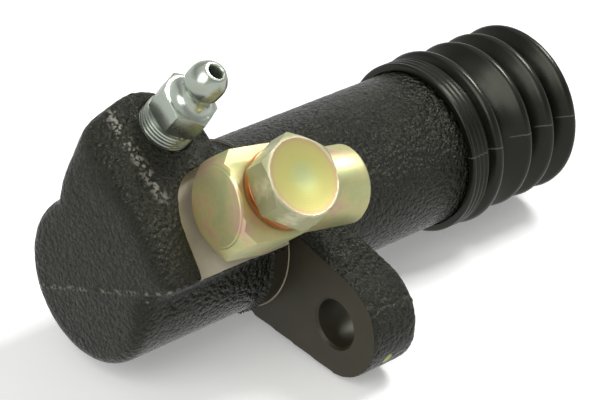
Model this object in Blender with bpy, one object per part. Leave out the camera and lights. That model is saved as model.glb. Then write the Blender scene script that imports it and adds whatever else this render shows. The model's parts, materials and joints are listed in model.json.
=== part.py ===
# Clutch slave cylinder: a cast iron cylinder with a bolted hydraulic union, a bleeder screw,
# a spring-loaded piston and a pushrod under a rubber boot.
#
# Frame: the origin is on the bore's axis, in the plane of the machined mounting face.
# +X runs along the bore from the closed end to the boot, +Z is up.
# Angles round the bore are counted from +Y towards +Z.

import bmesh
import bpy
import numpy as np
from math import cos, pi, radians, sin, sqrt, tan
from mathutils import Matrix, Vector

MM = 0.001
GAP = 0.3                # clearance between pieces that touch, in mm like every size below

# Cylinder casting
BORE_R = 9.525
TUBE_R = 15.3
CLOSED_END_X = -33.9
END_EDGE_R = 2.6
BORE_BOTTOM_X = -26.0
MOUTH_X = 51.5
SNAP_GROOVE_INSET = 3.1
SNAP_GROOVE_DEPTH = 1.1
BOOT_GROOVE_INSET = 2.9
BOOT_GROOVE_WIDTH = 2.4
BOOT_GROOVE_DEPTH = 1.2
PILOT_R = 15.65
PILOT_LENGTH = 3.5

# Mounting ears, one each side of the flange
EAR_REACH = 29.0
EAR_DROOP_DEG = 14.4
EAR_END_R = 10.1
EAR_HOLE_R = 4.5
EAR_THICKNESS = 10.5
EAR_ROOT_TOP_Z = 7.2
EAR_ROOT_BOTTOM_Z = -14.9

# Head block: a lobe at the closed end that rises to the bleeder screw's seat
LOBE_R = 15.4
LOBE_SHIFT = (3.0, 7.0)
LOBE_LOWER_SIDE = -8.6
LOBE_EDGE_R = 2.2
LOBE_FAR_FOOT = 9.0
BLEEDER_ANGLE_DEG = 125.2
BLEEDER_LEAN_DEG = 7.48
SEAT_HEIGHT = 20.0
SEAT_X = -17.36
SEAT_OFFSET = 14.22
SEAT_LEFT_X = -27.1
SEAT_RIGHT_X = -9.8
SEAT_FAR_REACH = 21.9
SEAT_LEFT_CORNER_R = 4.2
SEAT_RIGHT_CORNER_R = 10.5
SHOULDER_STEPS = ((-2.4, 1.9), (-4.8, 4.5))
SHOULDER_CORNER_R = 4.4

# Pocket for the union and its bolt
UNION_ANGLE_DEG = 137.24
BOLT_X = -10.96
PAD_HEIGHT = 18.4
POCKET_LEFT_X = -25.8
POCKET_TOP = 9.65
POCKET_CORNER_R = 9.3
POCKET_RIGHT_X = -0.4
PORT_THREAD_R = 5.0
PORT_FLOOR = 11.6
BOLT_AF = 14.0
BOLT_HEAD_HEIGHT = 5.7
BOLT_DRILL_R = 1.7
WASHER_OUTER_R = 7.5
WASHER_THICKNESS = 1.3

# Union
UNION_TURN_DEG = -9.87
UNION_AXIS_HEIGHT = 27.0
UNION_END_R = 7.0
UNION_SIDE = 8.3
UNION_TOP_FLAT = 4.9
UNION_BOTTOM_FLAT = 6.7
UNION_NEAR = 10.2
UNION_EYE_WALL = 0.8
UNION_PORT_THREAD_R = 4.6
UNION_PORT_DEPTH = 9.5
TUBE_SEAT_R = 3.3
TUBE_SEAT_DEPTH = 2.5
TUBE_SEAT_CONE = 1.9

# Bleeder screw
BLEEDER_THREAD_R = 4.9
BLEEDER_THREAD_LENGTH = 10.0
BLEEDER_EXPOSED = 3.4
BLEEDER_AF = 9.6
BLEEDER_HEX_HEIGHT = 4.95
BLEEDER_NECK_R = 2.6
BLEEDER_BULB_R = 3.45
BLEEDER_NIPPLE_LENGTH = 8.35
BLEEDER_DRILL_R = 1.1

# Piston group
PISTON_LENGTH = 23.0
CUP_THICKNESS = 5.0
CUP_LIP_WALL = 2.4
CUP_FLOOR = 2.0
SPREADER_DISC = 2.2
SPREADER_SPIGOT = 4.4
SEAL_GROOVE_WIDTH = 3.6
SEAL_GROOVE_DEPTH = 2.2
SOCKET_DEPTH = 13.0
SPRING_WIRE_R = 0.6
SPRING_SMALL_R = 4.6
SPRING_BIG_R = 7.6
SPRING_TURNS = 8.0

# Pushrod
ROD_R = 4.0
ROD_BEYOND_BOOT = 2.0
ROD_BALL_R = 5.0

# Boot
BOOT_LIP = 1.9
BOOT_COLLAR_R = 16.9
BOOT_WALL = 1.5
BOOT_FIRST_FOLD = 2.5
BOOT_FIRST_FOLD_R = 17.4
BOOT_NEXT_FOLD = 11.2
BOOT_FOLD_PITCH = 6.35
BOOT_FOLD_COUNT = 4
BOOT_FOLD_R = 16.8
BOOT_FOLD_CREST = 1.25
BOOT_VALLEY_R = 13.2
BOOT_COLLAR_LENGTH = 4.2
BOOT_CONE_LENGTH = 4.2
BOOT_NECK_LENGTH = 3.8

X = Vector((1.0, 0.0, 0.0))


def around_bore(angle_deg):
    """Unit vector square to the bore at an angle counted from +Y towards +Z."""
    return Vector((0.0, cos(radians(angle_deg)), sin(radians(angle_deg))))


UNION_UP = around_bore(UNION_ANGLE_DEG)
UNION_ACROSS = UNION_UP.cross(X)
UNION_ALONG = cos(radians(UNION_TURN_DEG)) * X + sin(radians(UNION_TURN_DEG)) * UNION_ACROSS
UNION_SIDEWAYS = UNION_UP.cross(UNION_ALONG)
BLEEDER_UP = (cos(radians(BLEEDER_LEAN_DEG)) * around_bore(BLEEDER_ANGLE_DEG)
              + sin(radians(BLEEDER_LEAN_DEG)) * X)
SEAT_ACROSS = BLEEDER_UP.cross(X).normalized()


def clear_scene():
    for item in list(bpy.data.objects):
        bpy.data.objects.remove(item, do_unlink=True)


def material(name, colour, roughness, metallic):
    made = bpy.data.materials.new(name)
    made.use_nodes = True
    shader = made.node_tree.nodes["Principled BSDF"]
    shader.inputs["Base Color"].default_value = (*colour, 1.0)
    shader.inputs["Roughness"].default_value = roughness
    shader.inputs["Metallic"].default_value = metallic
    return made


def frame_at(origin, along, side):
    """Matrix whose local X is along, and whose local Y lies towards side."""
    along = Vector(along).normalized()
    side = Vector(side)
    side = (side - along * side.dot(along)).normalized()
    up = along.cross(side)
    turn = Matrix((along, side, up)).transposed().to_4x4()
    return Matrix.Translation(Vector(origin) * MM) @ turn


def place(name, bm, surface=None, matrix=None, cutter=False, smooth=True):
    """Turns a bmesh in millimetres into an object in metres."""
    bmesh.ops.scale(bm, vec=(MM, MM, MM), verts=bm.verts)
    bmesh.ops.recalc_face_normals(bm, faces=bm.faces)
    mesh = bpy.data.meshes.new(name)
    bm.to_mesh(mesh)
    bm.free()
    item = bpy.data.objects.new(name, mesh)
    bpy.context.scene.collection.objects.link(item)
    if matrix is not None:
        item.matrix_world = matrix
    if surface is not None:
        mesh.materials.append(surface)
    if smooth and not cutter:
        mesh.shade_smooth()
        mesh.set_sharp_from_angle(angle=radians(35))
    if cutter:
        item.hide_render = True
        item.display_type = "WIRE"
    return item


def lathe(profile, steps=48):
    """Revolves (x, radius) points about local X. Points at radius 0 become one pole."""
    bm = bmesh.new()
    rings = []
    for x, r in profile:
        if r == 0:
            rings.append([bm.verts.new((x, 0, 0))])
        else:
            turns = [2 * pi * k / steps for k in range(steps)]
            rings.append([bm.verts.new((x, r * cos(a), r * sin(a))) for a in turns])
    closed = profile[0][1] > 0 or profile[-1][1] > 0
    pairs = list(zip(rings, rings[1:] + rings[:1]))
    if not closed:
        pairs = pairs[:-1]
    for low, high in pairs:
        for k in range(steps):
            n = (k + 1) % steps
            if len(low) == 1:
                bm.faces.new((low[0], high[k], high[n]))
            elif len(high) == 1:
                bm.faces.new((low[k], low[n], high[0]))
            else:
                bm.faces.new((low[k], low[n], high[n], high[k]))
    return bm


def rod_profile(start, end, radius):
    return [(start, 0), (start, radius), (end, radius), (end, 0)]


def prism(outline, start, end):
    """Extrudes an outline of (y, z) points along local X from start to end."""
    bm = bmesh.new()
    base = [bm.verts.new((start, y, z)) for y, z in outline]
    top = [bm.verts.new((end, y, z)) for y, z in outline]
    bm.faces.new(base)
    bm.faces.new(top)
    for k in range(len(base)):
        n = (k + 1) % len(base)
        bm.faces.new((base[k], base[n], top[n], top[k]))
    return bm


def arc(centre, radius, start_deg, end_deg, steps):
    angles = np.linspace(radians(start_deg), radians(end_deg), steps + 1)
    return [(centre[0] + radius * cos(a), centre[1] + radius * sin(a)) for a in angles]


def hexagon(across_flats, turn_deg=0.0):
    corner = across_flats / sqrt(3)
    return [(corner * cos(radians(turn_deg + 60 * k)), corner * sin(radians(turn_deg + 60 * k)))
            for k in range(6)]


def combine(target, tool, operation):
    change = target.modifiers.new(f"{operation.lower()} {tool.name}", "BOOLEAN")
    change.operation = operation
    change.solver = "EXACT"
    change.object = tool


def helper(name, bm, matrix=None):
    return place(name, bm, matrix=matrix, cutter=True)


UNION_ORIGIN = BOLT_X * X
SEAT_RISE = (SEAT_HEIGHT - SEAT_X * BLEEDER_UP.x) / cos(radians(BLEEDER_LEAN_DEG))
BLEEDER_ORIGIN = (SEAT_X * X + SEAT_OFFSET * SEAT_ACROSS
                  + SEAT_RISE * around_bore(BLEEDER_ANGLE_DEG))
UNION_SEAT_BASE = PORT_THREAD_R + GAP + UNION_EYE_WALL
UNION_SEAT = UNION_SEAT_BASE + TUBE_SEAT_DEPTH
UNION_FAR = UNION_SEAT + UNION_PORT_DEPTH
SNAP_GROOVE_X = MOUTH_X - SNAP_GROOVE_INSET
BOOT_GROOVE_X = MOUTH_X - BOOT_GROOVE_INSET
PISTON_OUT_X = SNAP_GROOVE_X
PISTON_IN_X = PISTON_OUT_X - PISTON_LENGTH
BOOT_START_X = BOOT_GROOVE_X - BOOT_LIP
BOOT_FOLDS = [(MOUTH_X + BOOT_FIRST_FOLD, BOOT_FIRST_FOLD_R)] + [
    (MOUTH_X + BOOT_NEXT_FOLD + k * BOOT_FOLD_PITCH, BOOT_FOLD_R) for k in range(BOOT_FOLD_COUNT - 1)]
BOOT_NECK_X = BOOT_FOLDS[-1][0] + BOOT_CONE_LENGTH
ROD_TIP_X = BOOT_NECK_X + BOOT_NECK_LENGTH + ROD_BEYOND_BOOT


def make_tube_blank():
    """Outside of the casting as turned: closed end, tube, pilot and boot groove."""
    groove_end = BOOT_GROOVE_X + BOOT_GROOVE_WIDTH
    groove_r = TUBE_R - BOOT_GROOVE_DEPTH
    edge = [(CLOSED_END_X + END_EDGE_R * (1 - sin(a)), TUBE_R - END_EDGE_R * (1 - cos(a)))
            for a in np.linspace(pi / 2, 0, 5)]
    return lathe([
        (CLOSED_END_X, 0), *edge,
        (-PILOT_LENGTH, TUBE_R), (-PILOT_LENGTH, PILOT_R), (1.0, PILOT_R), (1.6, TUBE_R),
        (BOOT_GROOVE_X, TUBE_R), (BOOT_GROOVE_X, groove_r), (groove_end, groove_r),
        (groove_end, TUBE_R - 0.3), (MOUTH_X, TUBE_R - 0.6), (MOUTH_X, 0)])


def ears_outline():
    """Both ears seen along the bore: round ends about the bolt holes, joined through the tube."""
    droop = radians(EAR_DROOP_DEG)
    centre = (-EAR_REACH * cos(droop), -EAR_REACH * sin(droop))
    near = arc(centre, EAR_END_R, 109, 264, 18)
    far = [(-y, z) for y, z in reversed(near)]
    return ([*near, (0.0, EAR_ROOT_BOTTOM_Z), *far, (TUBE_R - 2.5, EAR_ROOT_TOP_Z),
             (2.5 - TUBE_R, EAR_ROOT_TOP_Z)])


def across_up(x, across, up):
    """Point at a distance along the bore, across the union's pad and up from the bore's axis."""
    return x * X + across * UNION_ACROSS + up * UNION_UP


def lobe_outline(inset):
    """Lobe seen along the bore in (across, up): a shifted round, a flat top and a straight side."""
    across, up = LOBE_SHIFT
    round_part = arc((across, up), LOBE_R - inset, 90, 0, 12)
    side = LOBE_LOWER_SIDE + inset
    return [(side, up + LOBE_R - inset), *round_part, (TUBE_R - 2.0, 2.0), (0.0, -1.0), (side, 8.0)]


def seat_outline():
    """Bleeder seat in (x, across the bore): a straight left edge and a rounded far side."""
    r = SEAT_LEFT_CORNER_R
    left = arc((SEAT_LEFT_X + r, SEAT_FAR_REACH - 0.6 - r), r, 180, 100, 5)
    r = SEAT_RIGHT_CORNER_R
    right = arc((SEAT_RIGHT_X - r, SEAT_FAR_REACH - r), r, 90, 0, 7)
    return [(SEAT_LEFT_X, 0.0), *left, *right, (SEAT_RIGHT_X, 0.0)]


def shoulder_outline(x):
    """Shoulder beside the seat's left edge, in (x, across the bore), with a rounded far corner."""
    r = SHOULDER_CORNER_R
    corner = arc((x + r, SEAT_FAR_REACH - 1.0 - r), r, 180, 110, 6)
    return [(x, 2.0), *corner]


def below_seat(x, across, drop):
    """Point under the bleeder seat's plane, lowered by drop."""
    height = (SEAT_HEIGHT - x * BLEEDER_UP.x) / cos(radians(BLEEDER_LEAN_DEG)) - drop
    return x * X + across * SEAT_ACROSS + height * around_bore(BLEEDER_ANGLE_DEG)


def make_head():
    """Head block as the hull of the lobe's end, the bleeder seat and the block's far foot."""
    points = []
    for depth, inset in ((0.0, LOBE_EDGE_R), (0.3 * LOBE_EDGE_R, 0.3 * LOBE_EDGE_R), (LOBE_EDGE_R, 0.0)):
        outline = lobe_outline(inset)
        points += [across_up(CLOSED_END_X + depth, across, up) for across, up in outline]
    top = LOBE_SHIFT[1] + LOBE_R
    inner_x = POCKET_LEFT_X + 4.0
    points += [across_up(inner_x, LOBE_LOWER_SIDE, top), across_up(inner_x, LOBE_SHIFT[0], top),
               across_up(inner_x, LOBE_LOWER_SIDE, 8.0)]
    for beside, drop in SHOULDER_STEPS:
        points += [below_seat(x, across, drop) for x, across in shoulder_outline(SEAT_LEFT_X + beside)]
    rise = around_bore(BLEEDER_ANGLE_DEG)
    for x, across in seat_outline():
        points.append(below_seat(x, across, 0.0))
        if across > 0:
            points.append(x * X + (across - 0.3) * SEAT_ACROSS + LOBE_FAR_FOOT * rise)
            points.append(x * X + 12.0 * SEAT_ACROSS)
    points += [SEAT_RIGHT_X * X, SEAT_RIGHT_X * X + 8.0 * rise]
    bm = bmesh.new()
    for point in points:
        bm.verts.new(point)
    bmesh.ops.convex_hull(bm, input=bm.verts)
    loose = [v for v in bm.verts if not v.link_faces]
    bmesh.ops.delete(bm, geom=loose, context="VERTS")
    bmesh.ops.dissolve_limit(bm, angle_limit=radians(0.5), verts=bm.verts, edges=bm.edges)
    return bm


def pocket_outline():
    """Milled pocket in (x from the bolt, across): open below, rounded where the cutter turned."""
    left = POCKET_LEFT_X - BOLT_X
    right = POCKET_RIGHT_X - BOLT_X
    r = POCKET_CORNER_R
    corner = arc((left + r, POCKET_TOP - r), r, 180, 90, 14)
    return [(left, -30.0), *corner, (right, POCKET_TOP), (right, -30.0)]


def make_casting(surface):
    body = place("cylinder_body", make_tube_blank(), surface)

    combine(body, helper("add_head", make_head()), "UNION")
    side = LOBE_LOWER_SIDE + 0.1
    over = PAD_HEIGHT + 3.0
    boss = prism([(2.0, side), (over, side), (over, 8.6), (2.0, 8.6)],
                 CLOSED_END_X + 6.0 - BOLT_X, 0.6 - PILOT_LENGTH - BOLT_X)
    combine(body, helper("add_pad", boss, frame_at(UNION_ORIGIN, X, UNION_UP)), "UNION")
    combine(body, helper("add_ears", prism(ears_outline(), 0.0, EAR_THICKNESS)), "UNION")
    pocket = prism(pocket_outline(), PAD_HEIGHT, PAD_HEIGHT + 30.0)
    combine(body, helper("cut_pocket", pocket, frame_at(UNION_ORIGIN, UNION_UP, X)), "DIFFERENCE")

    groove = SNAP_GROOVE_X
    groove_r = BORE_R + SNAP_GROOVE_DEPTH
    bore = lathe([(BORE_BOTTOM_X, 0), (BORE_BOTTOM_X, BORE_R - 1.5), (BORE_BOTTOM_X + 1.5, BORE_R),
                  (groove, BORE_R), (groove, groove_r), (groove + 1.6, groove_r), (groove + 1.6, BORE_R),
                  (MOUTH_X - 0.8, BORE_R), (MOUTH_X + 1.0, BORE_R + 1.8), (MOUTH_X + 1.0, 0)])
    combine(body, helper("cut_bore", bore), "DIFFERENCE")

    port = lathe([(5.0, 0), (5.0, 2.0), (PORT_FLOOR, 2.0), (PORT_FLOOR + 0.6, PORT_THREAD_R + GAP),
                  (PAD_HEIGHT + 2.0, PORT_THREAD_R + GAP), (PAD_HEIGHT + 2.0, 0)], 32)
    combine(body, helper("cut_port", port, frame_at(UNION_ORIGIN, UNION_UP, X)), "DIFFERENCE")

    depth = BLEEDER_THREAD_LENGTH
    r = BLEEDER_THREAD_R + GAP
    hole = lathe([(-depth - 2.6, 0), (-depth - 2.6, 1.6), (-depth - 1.2, 1.6), (-depth - GAP, r),
                  (2.0, r), (2.0, 0)], 32)
    combine(body, helper("cut_bleeder", hole, frame_at(BLEEDER_ORIGIN, BLEEDER_UP, X)), "DIFFERENCE")
    start = BLEEDER_ORIGIN - (depth + 1.9) * BLEEDER_UP
    target = Vector((start.x, 0, 0)) + (BORE_R - 2.0) * around_bore(85.0)
    duct = lathe(rod_profile(-0.4, (target - start).length, 1.1), 16)
    combine(body, helper("cut_duct", duct, frame_at(start, target - start, X)), "DIFFERENCE")

    droop = radians(EAR_DROOP_DEG)
    for side, name in ((1, "near"), (-1, "far")):
        centre = Vector((0, -side * EAR_REACH * cos(droop), -EAR_REACH * sin(droop)))
        chamfer = 0.6
        drill = lathe([(-1.0, 0), (-1.0, EAR_HOLE_R + chamfer), (0.0, EAR_HOLE_R + chamfer),
                       (chamfer, EAR_HOLE_R), (EAR_THICKNESS + 1, EAR_HOLE_R), (EAR_THICKNESS + 1, 0)], 32)
        combine(body, helper(f"cut_ear_{name}", drill, Matrix.Translation(centre * MM)), "DIFFERENCE")
    return body


def make_union(surface):
    """Union bar with flats for the washers, a turned near end and a port at the far end."""
    origin = UNION_ORIGIN + UNION_AXIS_HEIGHT * UNION_UP
    frame = frame_at(origin, UNION_ALONG, UNION_SIDEWAYS)
    near = -UNION_NEAR
    far = UNION_FAR
    bar = lathe([(near, 0), (near, UNION_END_R), (far - 0.8, UNION_END_R),
                 (far, UNION_END_R - 0.6), (far, 0)], 48)
    union = place("union_body", bar, surface, frame)

    low = -UNION_BOTTOM_FLAT
    plan = [(near + 0.02, -UNION_SIDE), *arc((0.0, 0.0), UNION_SIDE, -90, 90, 24), (near + 0.02, UNION_SIDE)]
    eye = prism(plan, low - 0.6, UNION_TOP_FLAT + 1.3)
    block = helper("add_eye", eye, frame_at(origin, UNION_UP, UNION_ALONG))
    nose = lathe([(near, 0), (near, UNION_END_R - 0.05), (near + 4.4, UNION_END_R + 4.6),
                  (UNION_SIDE + 2.0, UNION_END_R + 4.6), (UNION_SIDE + 2.0, 0)], 44)
    combine(block, helper("trim_nose", nose, frame), "INTERSECT")
    combine(union, block, "UNION")

    flat_start = near + 1.1
    top = prism([(-12.0, UNION_TOP_FLAT), (12.0, UNION_TOP_FLAT), (12.0, 14.0), (-12.0, 14.0)],
                flat_start, UNION_SIDE + 0.93)
    combine(union, helper("cut_top_flat", top, frame), "DIFFERENCE")
    bottom = prism([(-12.0, -14.0), (12.0, -14.0), (12.0, low), (-12.0, low)], flat_start, UNION_SIDE + 0.9)
    combine(union, helper("cut_bottom_flat", bottom, frame), "DIFFERENCE")

    hole = lathe(rod_profile(-14.0, 14.0, PORT_THREAD_R + GAP), 32)
    combine(union, helper("cut_eye", hole, frame_at(origin, UNION_UP, X)), "DIFFERENCE")
    seat = UNION_SEAT
    port = lathe([(3.0, 0), (3.0, 1.5), (UNION_SEAT_BASE, 1.5), (UNION_SEAT_BASE, TUBE_SEAT_R),
                  (seat, TUBE_SEAT_R), (seat, UNION_PORT_THREAD_R), (far - 0.6, UNION_PORT_THREAD_R),
                  (far + 0.4, UNION_PORT_THREAD_R + 1.0), (far + 0.4, 0)], 32)
    combine(union, helper("cut_union_port", port, frame), "DIFFERENCE")
    return union


def make_tube_seat(surface):
    """Flare seat pressed into the bottom of the union's port."""
    origin = UNION_ORIGIN + UNION_AXIS_HEIGHT * UNION_UP
    base = UNION_SEAT_BASE + GAP
    outer = TUBE_SEAT_R - GAP
    tip = UNION_SEAT + TUBE_SEAT_CONE
    profile = [(base, 0.8), (base, outer), (UNION_SEAT, outer), (tip, 1.4), (tip, 0.8)]
    return place("tube_seat", lathe(profile, 24), surface, frame_at(origin, UNION_ALONG, UNION_SIDEWAYS))


def washer_heights():
    """Undersides of the two copper washers and of the bolt head, counted from the bore's axis."""
    lower = PAD_HEIGHT + GAP
    upper = UNION_AXIS_HEIGHT + UNION_TOP_FLAT + GAP
    return lower, upper, upper + WASHER_THICKNESS + GAP


def make_washer(name, height, surface):
    inner = PORT_THREAD_R + GAP
    profile = [(height, inner), (height, WASHER_OUTER_R), (height + WASHER_THICKNESS, WASHER_OUTER_R),
               (height + WASHER_THICKNESS, inner)]
    return place(name, lathe(profile, 40), surface, frame_at(UNION_ORIGIN, UNION_UP, X))


def make_banjo_bolt(surface):
    base = washer_heights()[2]
    top = base + BOLT_HEAD_HEIGHT
    frame = frame_at(UNION_ORIGIN, UNION_UP, X)
    bolt = place("banjo_bolt", prism(hexagon(BOLT_AF, 82.05), base, top), surface, frame)
    corner = BOLT_AF / sqrt(3)
    face_r = BOLT_AF / 2
    chamfer = (corner - face_r) * tan(radians(30))
    crown = lathe([(base, 0), (base, face_r + 0.9), (base + 0.2, corner + 0.3), (top - chamfer - 0.17, corner + 0.3),
                   (top, face_r), (top, 0)], 48)
    combine(bolt, helper("trim_head_corners", crown, frame), "INTERSECT")
    tip = PORT_FLOOR + 0.9
    shank = lathe([(tip, 0), (tip, PORT_THREAD_R - 0.8), (tip + 0.8, PORT_THREAD_R),
                   (base + 0.5, PORT_THREAD_R), (base + 0.5, 0)], 32)
    combine(bolt, helper("add_shank", shank, frame), "UNION")
    drill = lathe([(tip - 1, 0), (tip - 1, BOLT_DRILL_R), (UNION_AXIS_HEIGHT + 2, BOLT_DRILL_R),
                   (UNION_AXIS_HEIGHT + 3, 0)], 20)
    combine(bolt, helper("cut_axial", drill, frame), "DIFFERENCE")
    cross = lathe(rod_profile(-8.1, 8.3, 1.37), 18)
    centre = UNION_ORIGIN + (UNION_AXIS_HEIGHT - 1.13) * UNION_UP
    combine(bolt, helper("cut_cross", cross, frame_at(centre, UNION_ALONG, UNION_UP)), "DIFFERENCE")
    return bolt


def make_bleeder(surface):
    frame = frame_at(BLEEDER_ORIGIN, BLEEDER_UP, SEAT_ACROSS)
    low = BLEEDER_EXPOSED
    top = low + BLEEDER_HEX_HEIGHT
    screw = place("bleeder_screw", prism(hexagon(BLEEDER_AF, -2.7), low, top), surface, frame)
    corner = BLEEDER_AF / sqrt(3)
    crown = lathe([(low, 0), (low, corner - 0.3), (low + 0.3, corner + 0.1), (top - 0.4, corner + 0.1),
                   (top, BLEEDER_AF / 2), (top, 0)], 30)
    combine(screw, helper("trim_bleeder_hex", crown, frame), "INTERSECT")
    tip = -BLEEDER_THREAD_LENGTH
    end = top + BLEEDER_NIPPLE_LENGTH
    r = BLEEDER_THREAD_R
    bulb = BLEEDER_BULB_R
    nipple = lathe([(tip - 0.9, 0), (tip - 0.9, 1.2), (tip + 2.4, r - 0.9), (tip + 3.0, r), (low - 0.6, r),
                    (low + 0.2, r - 0.6), (top - 0.2, r - 1.2), (top + 0.7, BLEEDER_NECK_R + 0.5),
                    (top + 1.5, BLEEDER_NECK_R), (top + 2.6, BLEEDER_NECK_R), (top + 3.3, bulb - 0.25),
                    (top + 4.0, bulb), (top + 5.4, bulb), (end - 1.2, bulb - 0.45), (end - 0.35, bulb - 1.0),
                    (end, bulb - 1.5), (end, 0)], 24)
    combine(screw, helper("add_nipple", nipple, frame), "UNION")
    drill = lathe([(low - 6.0, 0), (low - 6.0, BLEEDER_DRILL_R), (end - 0.9, BLEEDER_DRILL_R),
                   (end + 0.3, BLEEDER_DRILL_R + 0.7), (end + 0.3, 0)], 16)
    combine(screw, helper("cut_nipple", drill, frame), "DIFFERENCE")
    return screw


def make_piston(surface):
    r = BORE_R - 0.05
    inner = PISTON_IN_X
    outer = PISTON_OUT_X
    groove = outer - 7.0
    width = SEAL_GROOVE_WIDTH
    depth = SEAL_GROOVE_DEPTH
    socket = outer - SOCKET_DEPTH
    profile = [(inner, 0), (inner, r - 3.6), (inner + 0.4, r - 0.6), (inner + 0.8, r), (groove - width, r),
               (groove - width, r - depth), (groove, r - depth), (groove, r), (outer - 0.5, r),
               (outer, r - 0.5), (outer, ROD_BALL_R + 1.6), (socket, ROD_BALL_R + GAP),
               (socket - 3.0, ROD_BALL_R * 0.6 + GAP), (socket - 4.2, 0)]
    return place("piston", lathe(profile, 32), surface)


def make_secondary_cup(surface):
    groove_end = PISTON_OUT_X - 7.0
    groove_start = groove_end - SEAL_GROOVE_WIDTH
    inner = BORE_R - 0.05 - SEAL_GROOVE_DEPTH + GAP
    outer = BORE_R - GAP
    low = groove_start + GAP
    high = groove_end - GAP
    profile = [(high, inner), (high, outer - 0.5), (low + 0.6, outer), (low, outer), (low, outer - 0.6),
               (low + 1.4, inner + 0.5), (low, inner + 0.3), (low, inner)]
    return place("secondary_cup", lathe(profile, 32), surface)


def make_primary_cup(surface):
    base = PISTON_IN_X - GAP
    lip = base - CUP_THICKNESS
    outer = BORE_R - GAP
    profile = [(base, 0), (base, outer - 0.8), (lip + 1.2, outer), (lip, outer), (lip, outer - 0.5),
               (base - CUP_FLOOR, outer - CUP_LIP_WALL), (base - CUP_FLOOR, 0)]
    return place("primary_cup", lathe(profile, 32), surface)


def cup_spreader_x():
    return PISTON_IN_X - 2 * GAP - CUP_FLOOR


def make_cup_spreader(surface):
    """Spring seat that sits in the cup: a disc with a spigot for the spring."""
    base = cup_spreader_x()
    rim = BORE_R - 2 * GAP - CUP_LIP_WALL
    disc = base - SPREADER_DISC
    spigot_r = SPRING_SMALL_R - SPRING_WIRE_R - GAP
    end = disc - SPREADER_SPIGOT
    profile = [(base, 0), (base, rim - 0.3), (base - 1.2, rim), (disc, rim - 0.3), (disc, spigot_r),
               (end + 0.6, spigot_r), (end, spigot_r - 0.6), (end, 0)]
    return place("cup_spreader", lathe(profile, 28), surface)


def make_spring(surface):
    """Conical coil with closed end turns, wide at the closed end of the bore."""
    start = BORE_BOTTOM_X + GAP + SPRING_WIRE_R
    end = cup_spreader_x() - SPREADER_DISC - GAP - SPRING_WIRE_R
    per_turn = 14
    sides = 5
    count = int(SPRING_TURNS * per_turn)
    bm = bmesh.new()
    rings = []
    for k in range(count + 1):
        turn = k / per_turn
        t = k / count
        rise = min(max((turn - 0.75) / (SPRING_TURNS - 1.5), 0.0), 1.0)
        closed = 2 * SPRING_WIRE_R * 1.08 * (min(turn, 0.75) / 0.75)
        tail = 2 * SPRING_WIRE_R * 1.08 * (max(turn - SPRING_TURNS + 0.75, 0) / 0.75)
        x = start + closed + rise * (end - start - 4.32 * SPRING_WIRE_R) + tail
        radius = SPRING_BIG_R + (SPRING_SMALL_R - SPRING_BIG_R) * t
        angle = 2 * pi * turn
        centre = Vector((x, radius * cos(angle), radius * sin(angle)))
        radial = Vector((0, cos(angle), sin(angle)))
        ring = []
        for s in range(sides):
            a = 2 * pi * s / sides
            ring.append(bm.verts.new(centre + SPRING_WIRE_R * (cos(a) * X + sin(a) * radial)))
        rings.append(ring)
    for low, high in zip(rings, rings[1:]):
        for s in range(sides):
            n = (s + 1) % sides
            bm.faces.new((low[s], low[n], high[n], high[s]))
    bm.faces.new(rings[0])
    bm.faces.new(rings[-1])
    return place("return_spring", bm, surface)


def make_snap_ring(surface):
    inner = 7.7
    outer = BORE_R + SNAP_GROOVE_DEPTH - GAP
    start = SNAP_GROOVE_X + GAP
    end = start + 1.0
    ring = place("snap_ring", lathe([(start, inner), (start, outer), (end, outer), (end, inner)], 36), surface)
    slot = prism([(4.0, -2.2), (14.0, -2.2), (14.0, 2.2), (4.0, 2.2)], start - 1, end + 1)
    combine(ring, helper("cut_ring_gap", slot), "DIFFERENCE")
    return ring


def make_pushrod(surface):
    """Rod with a ball in the piston's socket and a domed tip for the fork."""
    ball = PISTON_OUT_X - SOCKET_DEPTH + ROD_BALL_R * 0.62
    ball_points = [(ball - ROD_BALL_R * cos(a), ROD_BALL_R * sin(a)) for a in np.linspace(0.0, 2.22, 9)]
    tip = ROD_TIP_X
    dome = [(tip - ROD_R + ROD_R * sin(a), ROD_R * cos(a)) for a in np.linspace(0, pi / 2, 6)[:-1]]
    neck = BOOT_NECK_X
    neck_end = BOOT_NECK_X + BOOT_NECK_LENGTH - 1.6
    profile = [(ball_points[0][0], 0), *ball_points[1:], (neck, ROD_R), (neck, ROD_R - 0.7),
               (neck_end, ROD_R - 0.7), (neck_end, ROD_R), *dome, (tip, 0)]
    return place("pushrod", lathe(profile, 24), surface)


def boot_outside():
    """Outer line of the boot from the collar's rim over the folds to the neck."""
    collar_end = BOOT_START_X + BOOT_COLLAR_LENGTH
    line = [(BOOT_START_X, BOOT_COLLAR_R - 0.3), (BOOT_START_X + 0.3, BOOT_COLLAR_R),
            (collar_end, BOOT_COLLAR_R), (collar_end + 0.5, BOOT_COLLAR_R - 0.7)]
    for k, (x, r) in enumerate(BOOT_FOLDS):
        crest = BOOT_FOLD_CREST
        if k:
            before = BOOT_FOLDS[k - 1][0]
            line.append((before + (x - before) * 0.36, BOOT_VALLEY_R))
            line.append((before + (x - before) * 0.46, BOOT_VALLEY_R))
        for a in (-60, 0, 60):
            line.append((x + crest * sin(radians(a)), r - crest + crest * cos(radians(a))))
    last = BOOT_FOLDS[-1]
    line.append((last[0] + 0.55 * BOOT_CONE_LENGTH, BOOT_VALLEY_R + 0.4))
    line.append((BOOT_NECK_X, ROD_R + 2.4))
    line.append((BOOT_NECK_X + BOOT_NECK_LENGTH, ROD_R + 1.9))
    return line


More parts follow.
